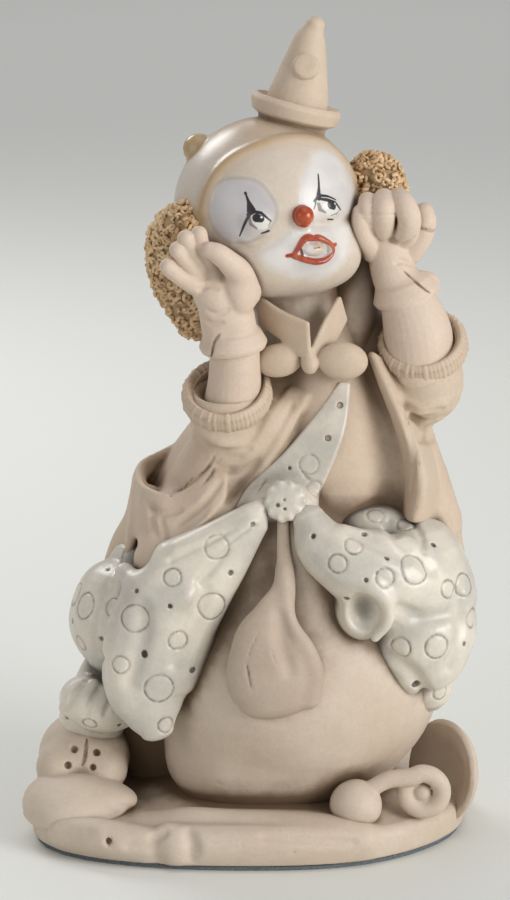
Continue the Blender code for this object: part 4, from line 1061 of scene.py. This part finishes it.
def face_map(points):
    """u and v of points, the other way about."""
    x, y, z = ((points - HEAD) / np.linalg.norm(points - HEAD, axis=1)[:, None]).T
    right = x * math.cos(FACE_TURN) + y * math.sin(FACE_TURN)
    out = x * math.sin(FACE_TURN) - y * math.cos(FACE_TURN)
    up, out = (z * math.cos(FACE_TILT) - out * math.sin(FACE_TILT),
               out * math.cos(FACE_TILT) + z * math.sin(FACE_TILT))
    return np.stack([np.arctan2(right, out), np.arcsin(np.clip(up, -1, 1))], 1) * HEAD_RADIUS


def over_head(u, v, lift):
    """A place on the round head at u and v, so far above it."""
    return HEAD + face_way(u, v) * (HEAD_RADIUS + lift)


def on_face(clay, u, v, lift=0.0):
    """The place where someone in front of the face meets the clay at u and v, or so far above it."""
    way = face_way(u, v)
    return clay.met(HEAD + way * 45, -way) + way * lift


def closed_line(rows, steps=8):
    """A smooth closed line through rows."""
    rows = np.array(rows, float)
    around = smooth_line(np.vstack([rows[-2:], rows, rows[:3]]), steps)
    return around[2 * steps:(len(rows) + 2) * steps]


def inside_by(points, outline):
    """How far points lie inside a closed line drawn on the face, negative outside."""
    a = closed_line(outline)
    b = np.roll(a, -1, axis=0)
    nearest = np.full(len(points), 99.0)
    crossings = np.zeros(len(points), bool)
    for p, q in zip(a, b):
        along = q - p
        share = np.clip(((points - p) @ along) / (along @ along), 0, 1)
        nearest = np.minimum(nearest, np.linalg.norm(points - p - share[:, None] * along, axis=1))
        spans = (p[1] > points[:, 1]) != (q[1] > points[:, 1])
        rise = along[1] if abs(along[1]) > 1e-9 else 1e-9
        crossings ^= spans & (points[:, 0] < p[0] + (points[:, 1] - p[1]) * along[0] / rise)
    return np.where(crossings, nearest, -nearest)


LEFT_PATCH = [(-24, 1.5), (-23, 6.4), (-19.8, 8.9), (-14.8, 9.1), (-10.6, 7.9), (-7.8, 4.6), (-6.4, 1.0),
              (-7.6, -2.6), (-11.3, -5.6), (-16, -6.9), (-20, -5.8), (-22.9, -2.6)]
RIGHT_PATCH = [(-1.2, -0.6), (-0.9, 4.4), (0.8, 9.4), (5.2, 14.4), (10.2, 16.4), (15.6, 14.9), (19.2, 11.4),
               (20.0, 6.4), (18.6, 1.2), (13.6, -2.0), (7, -2.4), (2, -2.2)]
MUZZLE = [(-2.9, -3.4), (-6.6, -6.0), (-10.6, -8.6), (-10.4, -12.2), (-5.6, -15.0), (1.5, -16.4),
          (8.4, -15.0), (12.6, -11.6), (15.0, -7.4), (15.2, -3.6), (9.6, -2.6), (3.6, -3.0)]
CAP_EDGE = [(-26.2, 1.0), (-24.4, 7.2), (-22.6, 11.0), (-19.4, 14.4), (-15.2, 16.8), (-9.7, 18.8),
            (-2.8, 20.2), (3.9, 20.4), (11.2, 19.6), (16.2, 18.2), (19.6, 15.6), (22.4, 12.0), (24.0, 7.0)]
NOSE_AT = (-0.2, -0.6)
TONGUE_AT = (3.0, -8.7)
LIPS = [(-2.2, -10.2, 0.36), (-1.3, -8.2, 0.42), (-0.1, -6.4, 0.6), (1.0, -5.8, 0.72), (2.2, -6.0, 0.6),
        (3.4, -5.8, 0.66), (5.2, -6.4, 0.46), (7.0, -7.5, 0.34), (7.5, -9.0, 0.34), (6.0, -10.5, 0.56),
        (3.7, -11.1, 0.66), (1.2, -11.0, 0.58), (-0.9, -10.6, 0.5)]
LIP_CORNERS = [[(-4.0, -10.4, 0.16), (-3.0, -10.2, 0.26), (-2.0, -10.2, 0.34)],
               [(6.8, -7.4, 0.3), (7.8, -7.5, 0.24), (8.6, -7.4, 0.14)]]

clay = Clay((-24, -32, 112), (32, 26, 184), 0.42)
clay.add(limb([(12, 1, 122, 11.5), (10, 0, 134, 11), (7, -2, 142, 12)]))
clay.add(ball(HEAD, (HEAD_RADIUS, HEAD_RADIUS, HEAD_RADIUS), sides=96), 1.5)
clay.add(limb([(*over_head(u, v, -0.3), 0.5) for u, v in CAP_EDGE], sides=16), 2.4)
clay.add(ball((17.4, -9.0, 147.6), (8.8, 8.8, 8.8)), 4)
clay.add(ball((11.6, -12.6, 147.4), (9.2, 8.6, 8.8)), 4)
clay.add(ball((3.6, -13.4, 147.0), (8.6, 8.6, 8.0)), 4)
clay.add(ball((13.6, -19.2, 150.4), (5.6, 4.2, 5.0), (12, 0, 0)), 3)
for lift, fold in ((0.5, ((-16.5, -7.2), (-13, -8.6), (-9.4, -7.8), (-6, -5.6), (-3.4, -3.2))),
                   (0.7, ((2.6, -2.6), (6.4, -2.8), (10.6, -2.6), (15.4, -2.2)))):
    clay.carve(limb([(*over_head(u, v, lift), 0.7) for u, v in fold], sides=12), 1.6)
for u, v in ((-11.6, -1.4), (7.4, 1.2)):
    clay.add(ball(over_head(u, v, -3.2), (4.2, 4.2, 3.8)), 1.6)
clay.carve(ball(on_face(clay, 2.8, -8.5), (4.0, 2.6, 2.3), (8, 10, 22)), 0.5)
lips = [(*on_face(clay, u, v, 0.1), r) for u, v, r in LIPS]
corners = [[(*on_face(clay, u, v, 0.05), r) for u, v, r in corner] for corner in LIP_CORNERS]
clay.add(limb(lips + lips[:2], sides=20), 0.25)
for corner in corners:
    clay.add(limb(corner, sides=12), 0.2)
tongue = on_face(clay, *TONGUE_AT, 0.5)
clay.add(ball(tongue, (3.5, 2.4, 1.9), (10, 8, 22)), 0.1)
under_nose = on_face(clay, *NOSE_AT) + face_way(0, -2.9) * 0.2 - (0, 0, 2.4)
nose = on_face(clay, *NOSE_AT, 1.0)
clay.add(ball(nose, (2.5, 2.5, 2.5)), 0.2)
clay.add(ball(under_nose, (1.5, 1.3, 0.9)), 1.0)
clay.add(ball((-13.8, -1.5, 171.8), (3.9, 3.8, 3.9)), 0.8)


def painted_stroke_group():
    """The mask of one brush stroke on the face, from its start to its end, with a width at each."""
    group = bpy.data.node_groups.new("painted_stroke", "ShaderNodeTree")
    given, end = socketed(group, (("Place", "Vector"), ("From", "Vector"), ("To", "Vector"),
                                  ("Width", "Float"), ("End Width", "Float")), (("Mask", "Float"),))

    def vector(operation, one, other, output=0):
        return added(group, "ShaderNodeVectorMath", {0: one, 1: other}, operation=operation).outputs[output]

    reach = vector("SUBTRACT", given["Place"], given["From"])
    along = vector("SUBTRACT", given["To"], given["From"])
    share = maths(group, "DIVIDE", vector("DOT_PRODUCT", reach, along, 1),
                  vector("DOT_PRODUCT", along, along, 1), clamp=True)
    foot = added(group, "ShaderNodeVectorMath", {0: along, "Scale": share}, operation="SCALE").outputs[0]
    off = vector("DISTANCE", reach, foot, 1)
    half = times(group, remapped(group, share, given["Width"], given["End Width"]), 0.5)
    mask = maths(group, "SUBTRACT", 1.0, eased(group, off, maths(group, "SUBTRACT", half, 0.1),
                                               maths(group, "ADD", half, 0.1)))
    group.links.new(mask, end["Mask"])
    return group


painted_stroke = painted_stroke_group()
LASHES = [((-14.0, 5.4), (-13.3, 3.4), 0.4, 0.8), ((-13.3, 3.4), (-12.6, 1.2), 0.8, 2.2),
          ((-14.05, 5.4), (-13.95, 5.2), 0.72, 0.72),
          ((-12.9, 0.3), (-14.4, -2.2), 0.9, 0.7), ((-14.4, -2.2), (-15.9, -5.0), 0.7, 0.34),
          ((-13.3, 0.2), (-12.0, 0.9), 0.9, 0.8), ((-12.0, 0.9), (-10.2, 0.5), 0.8, 0.72),
          ((-10.2, 0.5), (-8.0, -1.5), 0.72, 0.4), ((-10.3, -4.4), (-8.6, -3.9), 0.42, 0.56),
          ((5.9, 9.2), (5.2, 6.0), 0.44, 0.7), ((5.2, 6.0), (4.5, 3.4), 0.7, 1.4),
          ((3.3, 2.7), (4.8, 4.0), 0.7, 0.8), ((4.8, 4.0), (7.0, 3.6), 0.8, 0.6),
          ((7.0, 3.6), (9.4, 2.6), 0.6, 0.42), ((4.4, 3.2), (6.6, 2.7), 0.6, 0.9),
          ((6.6, 2.7), (9.0, 1.9), 0.9, 0.75), ((9.0, 1.9), (11.5, 0.1), 0.75, 0.4),
          ((3.6, 2.4), (3.0, 0.8), 0.36, 0.24), ((6.9, -1.9), (8.8, -2.1), 0.42, 0.4)]
IRISES = [((-11.3, -0.6), (-10.3, -0.9), 2.0), ((7.4, 1.5), (8.2, 1.1), 2.1)]
GLINTS = [((-10.2, -0.5), 0.42), ((8.7, 1.7), 0.4)]
BROWN_ARCS = [((-13.0, -0.4), (-12.7, -2.0), 0.7, 0.9), ((-12.7, -2.0), (-11.4, -3.1), 0.9, 0.5),
              ((-8.2, -1.8), (-8.6, -2.8), 0.3, 0.2),
              ((4.2, 1.9), (4.5, 0.6), 0.8, 1.0), ((4.5, 0.6), (5.8, -0.2), 0.9, 0.4),
              ((7.6, -1.0), (9.4, -0.6), 0.3, 0.3), ((10.4, -0.2), (9.4, -0.9), 0.3, 0.3)]
EYEBALLS = [((-11.2, -1.7), (-9.8, -1.9), 3.2), ((6.4, 0.8), (8.6, 0.3), 2.8)]
MOUTH_LINES = [((2.2, -7.9), (3.6, -7.8), 0.26, 0.26), ((-0.7, -8.4), (-0.2, -9.8), 0.6, 0.8)]
FACE_WHITE = (0.70, 0.675, 0.645, 1)
FACE_GREY = (0.46, 0.43, 0.435, 1)
LEFT_PATCH_SHADE_LAVENDER = (0.40, 0.375, 0.40, 1)
PATCH_LINE = (0.25, 0.21, 0.20, 1)
LIP_RED = (0.34, 0.022, 0.006, 1)
LIP_WORN = (0.46, 0.12, 0.05, 1)
NOSE_RED = (0.36, 0.036, 0.004, 1)
NOSE_WORN = (0.52, 0.13, 0.03, 1)
TONGUE = (0.56, 0.45, 0.36, 1)
MOUTH_DARK = (0.13, 0.035, 0.022, 1)
EYE_WHITE = (0.66, 0.64, 0.60, 1)
EYE_BROWN = (0.17, 0.115, 0.09, 1)
LASH_BLACK = (0.018, 0.016, 0.018, 1)
GLINT_WHITE = (0.8, 0.8, 0.8, 1)
CAP_OCHRE = (0.42, 0.28, 0.12, 1)
CAP_TAN = (0.44, 0.29, 0.16, 1)
CAP_PEARL = (0.60, 0.54, 0.47, 1)

painted_face, tree, shader, skin = bisque_finish(
    "painted_face", (0.60, 0.51, 0.42, 1), (0.55, 0.44, 0.345, 1), roughness=0.5, coat=0.25,
    coat_roughness=0.25, cloudiness=0.3)
where = told(tree, "face", "Vector")
place = added(tree, "ShaderNodeTexCoord").outputs["Object"]


def strokes(rows):
    """One mask for several strokes."""
    whole = None
    for start, end, width, end_width in rows:
        one = added(tree, "ShaderNodeGroup", node_tree=painted_stroke)
        one.inputs["From"].default_value = (*start, 0)
        one.inputs["To"].default_value = (*end, 0)
        one.inputs["Width"].default_value = width
        one.inputs["End Width"].default_value = end_width
        tree.links.new(where, one.inputs["Place"])
        whole = one.outputs[0] if whole is None else maths(tree, "MAXIMUM", whole, one.outputs[0])
    return whole


def along_edge(name, low, high):
    """1 on the edge of what the points are told, and 0 away from it on both sides."""
    return maths(tree, "SUBTRACT", 1.0, eased(tree, maths(tree, "ABSOLUTE", told(tree, name)), low, high))


brushed = mottled(tree, place, 190, 4)
soft_clouds = mottled(tree, place, 60, 3)
height = added(tree, "ShaderNodeSeparateXYZ", {0: place}).outputs[2]
white = told(tree, "white")
wavering = maths(tree, "ADD", white, times(tree, maths(tree, "SUBTRACT", brushed, 0.5), 2.4))
shade = times(tree, eased(tree, soft_clouds, 0.4, 0.7), eased(tree, white, -0.5, 1.5))
on_cap = eased(tree, told(tree, "cap"), 0.0, 1.4)
stain = maths(tree, "MAXIMUM", along_edge("cap", 0.1, 4.2),
              times(tree, on_cap, eased(tree, height, 0.168, 0.179)))
on_nose = eased(tree, told(tree, "nose"), -0.1, 0.15)
layers = [
    (times(tree, eased(tree, wavering, -1.4, 2.2), 0.85), FACE_WHITE),
    (times(tree, shade, 0.55), FACE_GREY),
    # Painted shade: the left eye patch, on the side away from the key light, is greyed towards lavender.
    (times(tree, eased(tree, told(tree, "left_patch"), -1.0, 2.0), 0.42), LEFT_PATCH_SHADE_LAVENDER),
    (times(tree, along_edge("left_patch", 0.02, 0.9), 0.35), PATCH_LINE),
    # Brown wash in the face's cuts and hollows; in the hollows it is partly painted shade.
    (times(tree, skin["Stained And Shaded"], 0.6), BROWN_STAIN_AND_SHADE),
    (times(tree, on_cap, 0.5), CAP_PEARL),
    (times(tree, stain, remapped(tree, soft_clouds, 0.35, 0.85, 0.3, 0.7)), CAP_TAN),
    (times(tree, along_edge("cap", 0.1, 1.8), 0.45), CAP_OCHRE),
    (times(tree, eased(tree, told(tree, "knob"), 0, 2.0), 0.85), CAP_OCHRE),
    (strokes([(a, b, w, w) for a, b, w in EYEBALLS]), EYE_WHITE),
    (times(tree, strokes(BROWN_ARCS), 0.8), EYE_BROWN),
    (strokes(LASHES), LASH_BLACK),
    (strokes([(a, b, w, w * 0.8) for a, b, w in IRISES]), LASH_BLACK),
    (strokes([((u, v), (u + 0.1, v), w, w) for (u, v), w in GLINTS]), GLINT_WHITE),
    (eased(tree, told(tree, "lip"), -0.15, 0.15),
     mixed(tree, eased(tree, brushed, 0.35, 0.7), LIP_RED, LIP_WORN)),
    (eased(tree, told(tree, "tongue"), -0.1, 0.25), TONGUE),
    (strokes(MOUTH_LINES), MOUTH_DARK),
    (on_nose, mixed(tree, eased(tree, brushed, 0.42, 0.72), NOSE_RED, NOSE_WORN))]
colour = skin["Color"]
for share, paint in layers:
    colour = mixed(tree, share, colour, paint)
tree.links.new(colour, shader.inputs["Base Color"])
wet = maths(tree, "MAXIMUM", on_nose, eased(tree, told(tree, "lip"), -0.1, 0.15))
wet = maths(tree, "MAXIMUM", wet, times(tree, eased(tree, white, -0.1, 0.6), 0.7))
wet = maths(tree, "MAXIMUM", wet, times(tree, on_cap, 0.7))
tree.links.new(remapped(tree, wet, 0.55, 0.26), shader.inputs["Roughness"])
tree.links.new(remapped(tree, wet, 0.0, 0.36), shader.inputs["Coat Weight"])

head = cast("head", clay, painted_face, 110000)
points, faces = read_mesh(head.data)
on_map = face_map(points)
with_values(head, "face", np.column_stack([on_map, np.zeros(len(points))]), "FLOAT_VECTOR")
white = [inside_by(on_map, outline) for outline in (RIGHT_PATCH, MUZZLE, LEFT_PATCH)]
with_values(head, "white", np.max(white, axis=0))
with_values(head, "left_patch", white[2])
behind = CAP_EDGE + [(30, -30), (-30, -30)]
with_values(head, "cap", np.minimum(-inside_by(on_map, behind), (points[:, 2] - NAPE) * 0.5))
red_line = np.vstack([closed_line(lips, 5)] + [smooth_line(corner, 5) for corner in corners])
nearest_lip = np.min([np.linalg.norm(points - p[:3], axis=1) - p[3] for p in red_line], axis=0)
with_values(head, "lip", 0.3 - nearest_lip)
with_values(head, "tongue", 2.5 - np.linalg.norm((points - tongue) * (0.76, 1, 1.28), axis=1))
with_values(head, "nose", 2.85 - np.linalg.norm(points - nose, axis=1))
with_values(head, "knob", 5.4 - np.linalg.norm(points - KNOB, axis=1))


# Hair
# Two tufts of tight curls, made of strands pressed through a clay gun and heaped up by hand.
# They were stained golden brown, and between the strands they are darkened as painted shade.
HAIR_GOLD = (0.74, 0.54, 0.32, 1)
HAIR_BROWN = (0.48, 0.29, 0.135, 1)
HAIR_SHADE_BETWEEN_CURLS = (0.20, 0.11, 0.05, 1)


def curls_tree():
    """Short curls of one thickness, stood at random over a tuft's surface and joined to it."""
    tree, given, end = geometry_tree("curls", [("Spacing", "Float"), ("Strand", "Float"),
                                               ("Curl", "Float"), ("Finish", "Material")])
    spread = added(tree, "GeometryNodeDistributePointsOnFaces", {
        "Mesh": given["Geometry"], "Distance Min": given["Spacing"], "Density Max": 600000.0, "Seed": 4},
        distribute_method="POISSON")
    spiral = added(tree, "GeometryNodeCurveSpiral", {
        "Resolution": 7, "Rotations": 1.1, "Start Radius": given["Curl"],
        "End Radius": times(tree, given["Curl"], 0.62), "Height": times(tree, given["Curl"], 0.9)})
    profile = added(tree, "GeometryNodeCurvePrimitiveCircle", {"Resolution": 5, "Radius": given["Strand"]})
    strand = added(tree, "GeometryNodeCurveToMesh", {
        "Curve": spiral.outputs[0], "Profile Curve": profile.outputs[0], "Fill Caps": True}).outputs[0]
    tumble = added(tree, "FunctionNodeRandomValue", {0: (-1.2, -1.2, 0), 1: (1.2, 1.2, 6.28), "Seed": 11},
                   data_type="FLOAT_VECTOR").outputs[0]
    tumble = added(tree, "FunctionNodeEulerToRotation", {0: tumble}).outputs[0]
    turn = added(tree, "FunctionNodeRotateRotation", {0: spread.outputs["Rotation"], 1: tumble},
                 rotation_space="LOCAL").outputs[0]
    size = added(tree, "FunctionNodeRandomValue", {2: 0.72, 3: 1.2, "Seed": 5}).outputs[1]
    curls = added(tree, "GeometryNodeInstanceOnPoints", {"Points": spread.outputs[0], "Instance": strand,
                                                         "Rotation": turn, "Scale": size}).outputs[0]
    both = added(tree, "GeometryNodeJoinGeometry", {0: curls})
    tree.links.new(given["Geometry"], both.inputs[0])
    whole = added(tree, "GeometryNodeRealizeInstances", {"Geometry": both.outputs[0]}).outputs[0]
    smooth = added(tree, "GeometryNodeSetShadeSmooth", {"Geometry": whole}).outputs[0]
    dressed = added(tree, "GeometryNodeSetMaterial", {"Geometry": smooth, "Material": given["Finish"]})
    tree.links.new(dressed.outputs[0], end)
    return tree


curls = curls_tree()
hair, tree, shader, place = new_finish("golden_hair", 0.62)
colour = mixed(tree, eased(tree, mottled(tree, place, 140, 3), 0.4, 0.66), HAIR_GOLD, HAIR_BROWN)
# Painted shade: darker where a point lies low, near the core between the curls.
colour = mixed(tree, eased(tree, told(tree, "high"), -0.7, 0.7), HAIR_SHADE_BETWEEN_CURLS, colour)
tree.links.new(colour, shader.inputs["Base Color"])
raised(tree, shader, mottled(tree, place, 900, 3), 0.0001, 0.5)


def tuft(name, masses, low, high):
    """A tuft: its masses as a core of clay, with curls all over."""
    clay = Clay(low, high, 0.7)
    for rows in masses:
        clay.add(limb(rows), 1.5)
    points, faces = clay.skin()
    made = meshed(name, *largest(points, faces), hair)
    grown(made, curls, {"Spacing": 0.78 * MM, "Strand": 0.5 * MM, "Curl": 0.95 * MM, "Finish": hair})
    points, faces = read_mesh(made.data)
    with_values(made, "high", np.clip(clay.depth(points), -2, 3))
    part_of_casting(made)


tuft("left_hair",
     [[(-16.4, -13.2, 156.4, 3.6), (-20.4, -8, 152, 4.8), (-19.6, -3, 141, 5.8), (-14.2, 0, 129, 4.6)],
      [(-15.2, -14.6, 153.4, 3.6), (-17.4, -11, 146, 4.8)]], (-32, -24, 118), (-2, 14, 170))
tuft("right_hair",
     [[(25.6, 0, 165.0, 3.0), (29.0, 0, 166.4, 4.0), (32.4, 0, 163.8, 4.0), (33.6, 0, 159.0, 3.4)],
      [(28, 0, 159, 4.0), (31, 0, 155, 3.6)]], (16, -12, 146), (42, 14, 176))


# Hat
# A little cone with a rolled brim and one button, its tip nodding over. It sits on the skull cap, in the
# same bare bisque as the clothes.
clay = Clay((-6, -16, 172), (26, 14, 206), 0.36)
clay.add(turned([(7.6, -1.2), (10.6, 0.4), (11.4, 3.2), (10.4, 4.6), (8.6, 3.2), (5, 2.0)],
                (9.4, 0, 179.2), (0.24, 0.02, 0.97), closed=True), 0.4)
clay.add(limb([(8.8, 0, 177, 8.6), (10.6, 0, 184.4, 7.5), (12.2, -0.6, 192.5, 5.5), (13.4, -1.4, 198.6, 3.9),
               (14.6, -2, 202, 2.4)], steps=10), 0.8)
clay.add(turned([(3.2, -2), (3.3, 0), (2.8, 0.7), (1.5, 0.9)], (12.3, -6.2, 192.6), (0.0, -0.95, 0.3)), 0.25)
cast("cone_hat", clay, cloth, 24000)


# Horn
# A bulb horn lying on the base: a round bulb, a coiled tube and a wide bell that leans on the ball seat.
# It is a clown's horn in bare bisque, modelled in clay and cast with the base.
clay = Clay((14, -42, 5), (60, 8, 48), 0.45)
clay.add(ball((24.8, -31, 13.2), (6.5, 6.5, 6.4)), 0.3)
COIL = (41.3, -30.4, 15.9)
COIL_RADIUS = 5.2
tube = [(28.5, -31, 17.4, 2.1), (33, -30.6, 19.6, 2.2)]
for step in range(13):
    turn = math.radians(125 - 30 * step)
    reach = COIL_RADIUS - 0.1 * step
    tube.append((COIL[0] + reach * math.cos(turn), COIL[1] + 0.2 * step,
                 COIL[2] + reach * math.sin(turn), 2.3))
clay.add(limb(tube, face=(0, -1, 0.01), sides=24), 0.3)
clay.add(ball((41.3, -28.6, 15.8), (2.4, 2.4, 2.4)), 0.3)
cast("bulb_and_tube", clay, bisque, 14000)

clay = Clay((24, -34, 0), (68, 16, 36), 0.4)
clay.add(turned([(2.4, -8), (3.4, -6.4), (7, -4.2), (12.0, -1.8), (13.3, 0.2), (12.2, 1.2), (8.6, -0.2),
                 (5, -2.2), (0.5, -3.4)], (47.4, -8, 14.8), (-0.80, -0.57, 0.15)), 0.4)
cast("horn_bell", clay, bisque, 16000)


# Dark wash and painted shade
# After firing, thin brown stain was brushed over everything and wiped off the high places, so it stayed
# in the hollows. Each piece is told how deep in a hollow each of its points lies, from the whole figure,
# and that brown also darkens the deep places under and between parts as painted shade.
whole = Clay((-64, -54, -2), (64, 52, 210), 1.0)
for piece in pieces:
    whole.add(as_form(*read_mesh(piece.data)))
filled = np.clip(0.5 - whole.field, 0, 1)


def blurred(field, reach, passes=3):
    """The field averaged over a box that reaches so many cells each way, a few times over."""
    for axis in (0, 1, 2) * passes:
        padded = np.concatenate([np.repeat(field.take([0], axis), reach + 1, axis), field,
                                 np.repeat(field.take([-1], axis), reach, axis)], axis)
        summed = np.cumsum(padded, axis=axis, dtype=np.float64)
        n = field.shape[axis]
        upper = summed.take(range(2 * reach + 1, 2 * reach + 1 + n), axis)
        field = ((upper - summed.take(range(n), axis)) / (2 * reach + 1)).astype(np.float32)
    return field


JUST_OUTSIDE = 0.7
# Blurs from narrow to wide; the wide ones reach broad places under and between parts, which get painted
# shade.
HOLLOWS = ((1, 0.42, 0.4, 0.4), (3, 0.47, 0.34, 0.65), (7, 0.48, 0.34, 0.85))
blurs = [(blurred(filled, cells), start, span, share) for cells, start, span, share in HOLLOWS]
for piece in pieces:
    mesh = piece.data
    points = read_mesh(mesh)[0]
    normals = np.empty(len(points) * 3, np.float32)
    mesh.vertices.foreach_get("normal", normals)
    outside = points + normals.reshape(-1, 3) * JUST_OUTSIDE
    hollow = sum(share * np.clip((whole.depth(outside, blur) - start) / span, 0, 1)
                 for blur, start, span, share in blurs)
    with_values(piece, "hollow", np.clip(hollow, 0, 1))


# Room
# A pale paper floor, large soft lights, and the camera where the photographer stood.
def aimed(made, place, aim):
    """Stands a light or a camera at a place and turns it to what it looks at."""
    made.location = place
    made.rotation_euler = (Vector(aim) - made.location).to_track_quat("-Z", "Y").to_euler()


def area_light(name, place, aim, size, power):
    light = bpy.data.lights.new(name, "AREA")
    light.shape = "DISK"
    light.size = size
    light.energy = power
    aimed(put_in(name, light), place, aim)


FLOOR_REACH = 8.0
paper_mesh = bpy.data.meshes.new("paper_floor")
corners = [(x * FLOOR_REACH, y * FLOOR_REACH, 0) for x, y in ((-1, -1), (1, -1), (1, 1), (-1, 1))]
paper_mesh.from_pydata(corners, [], [(0, 1, 2, 3)])
paper, _, shader, _ = new_finish("pale_paper", 0.9)
shader.inputs["Base Color"].default_value = (0.80, 0.80, 0.755, 1)
shader.inputs["Specular IOR Level"].default_value = 0.1
paper_mesh.materials.append(paper)
paper_floor = put_in("paper_floor", paper_mesh)

area_light("softbox_right", (1.0, -0.74, 0.38), (0, 0, 0.09), 0.8, 12.5)
area_light("softbox_left", (-0.8, -0.7, 0.4), (0, 0, 0.1), 0.8, 2.0)
area_light("softbox_above", (0.1, -0.1, 1.2), (0, 0, 0.1), 1.0, 2.4)
area_light("floor_light", (-0.45, 0.62, 0.66), (-0.2, 0.35, 0), 0.4, 3.0)
area_light("far_floor_light", (0, 2.2, 1.5), (0, 2.3, 0), 1.2, 6.5)
world = bpy.data.worlds.new("studio")
world.use_nodes = True
sky = world.node_tree.nodes["Background"].inputs
sky["Color"].default_value = (0.95, 0.97, 1, 1)
sky["Strength"].default_value = 0.32
bpy.context.scene.world = world
bpy.context.scene.view_settings.view_transform = "Standard"

camera_data = bpy.data.cameras.new("camera")
camera_data.lens = 144
camera_data.sensor_fit = "VERTICAL"
camera_data.sensor_height = 36
camera = put_in("camera", camera_data)
aimed(camera, (0, -0.8803, 0.2831), (0, 0, 0.096))
bpy.context.scene.camera = camera
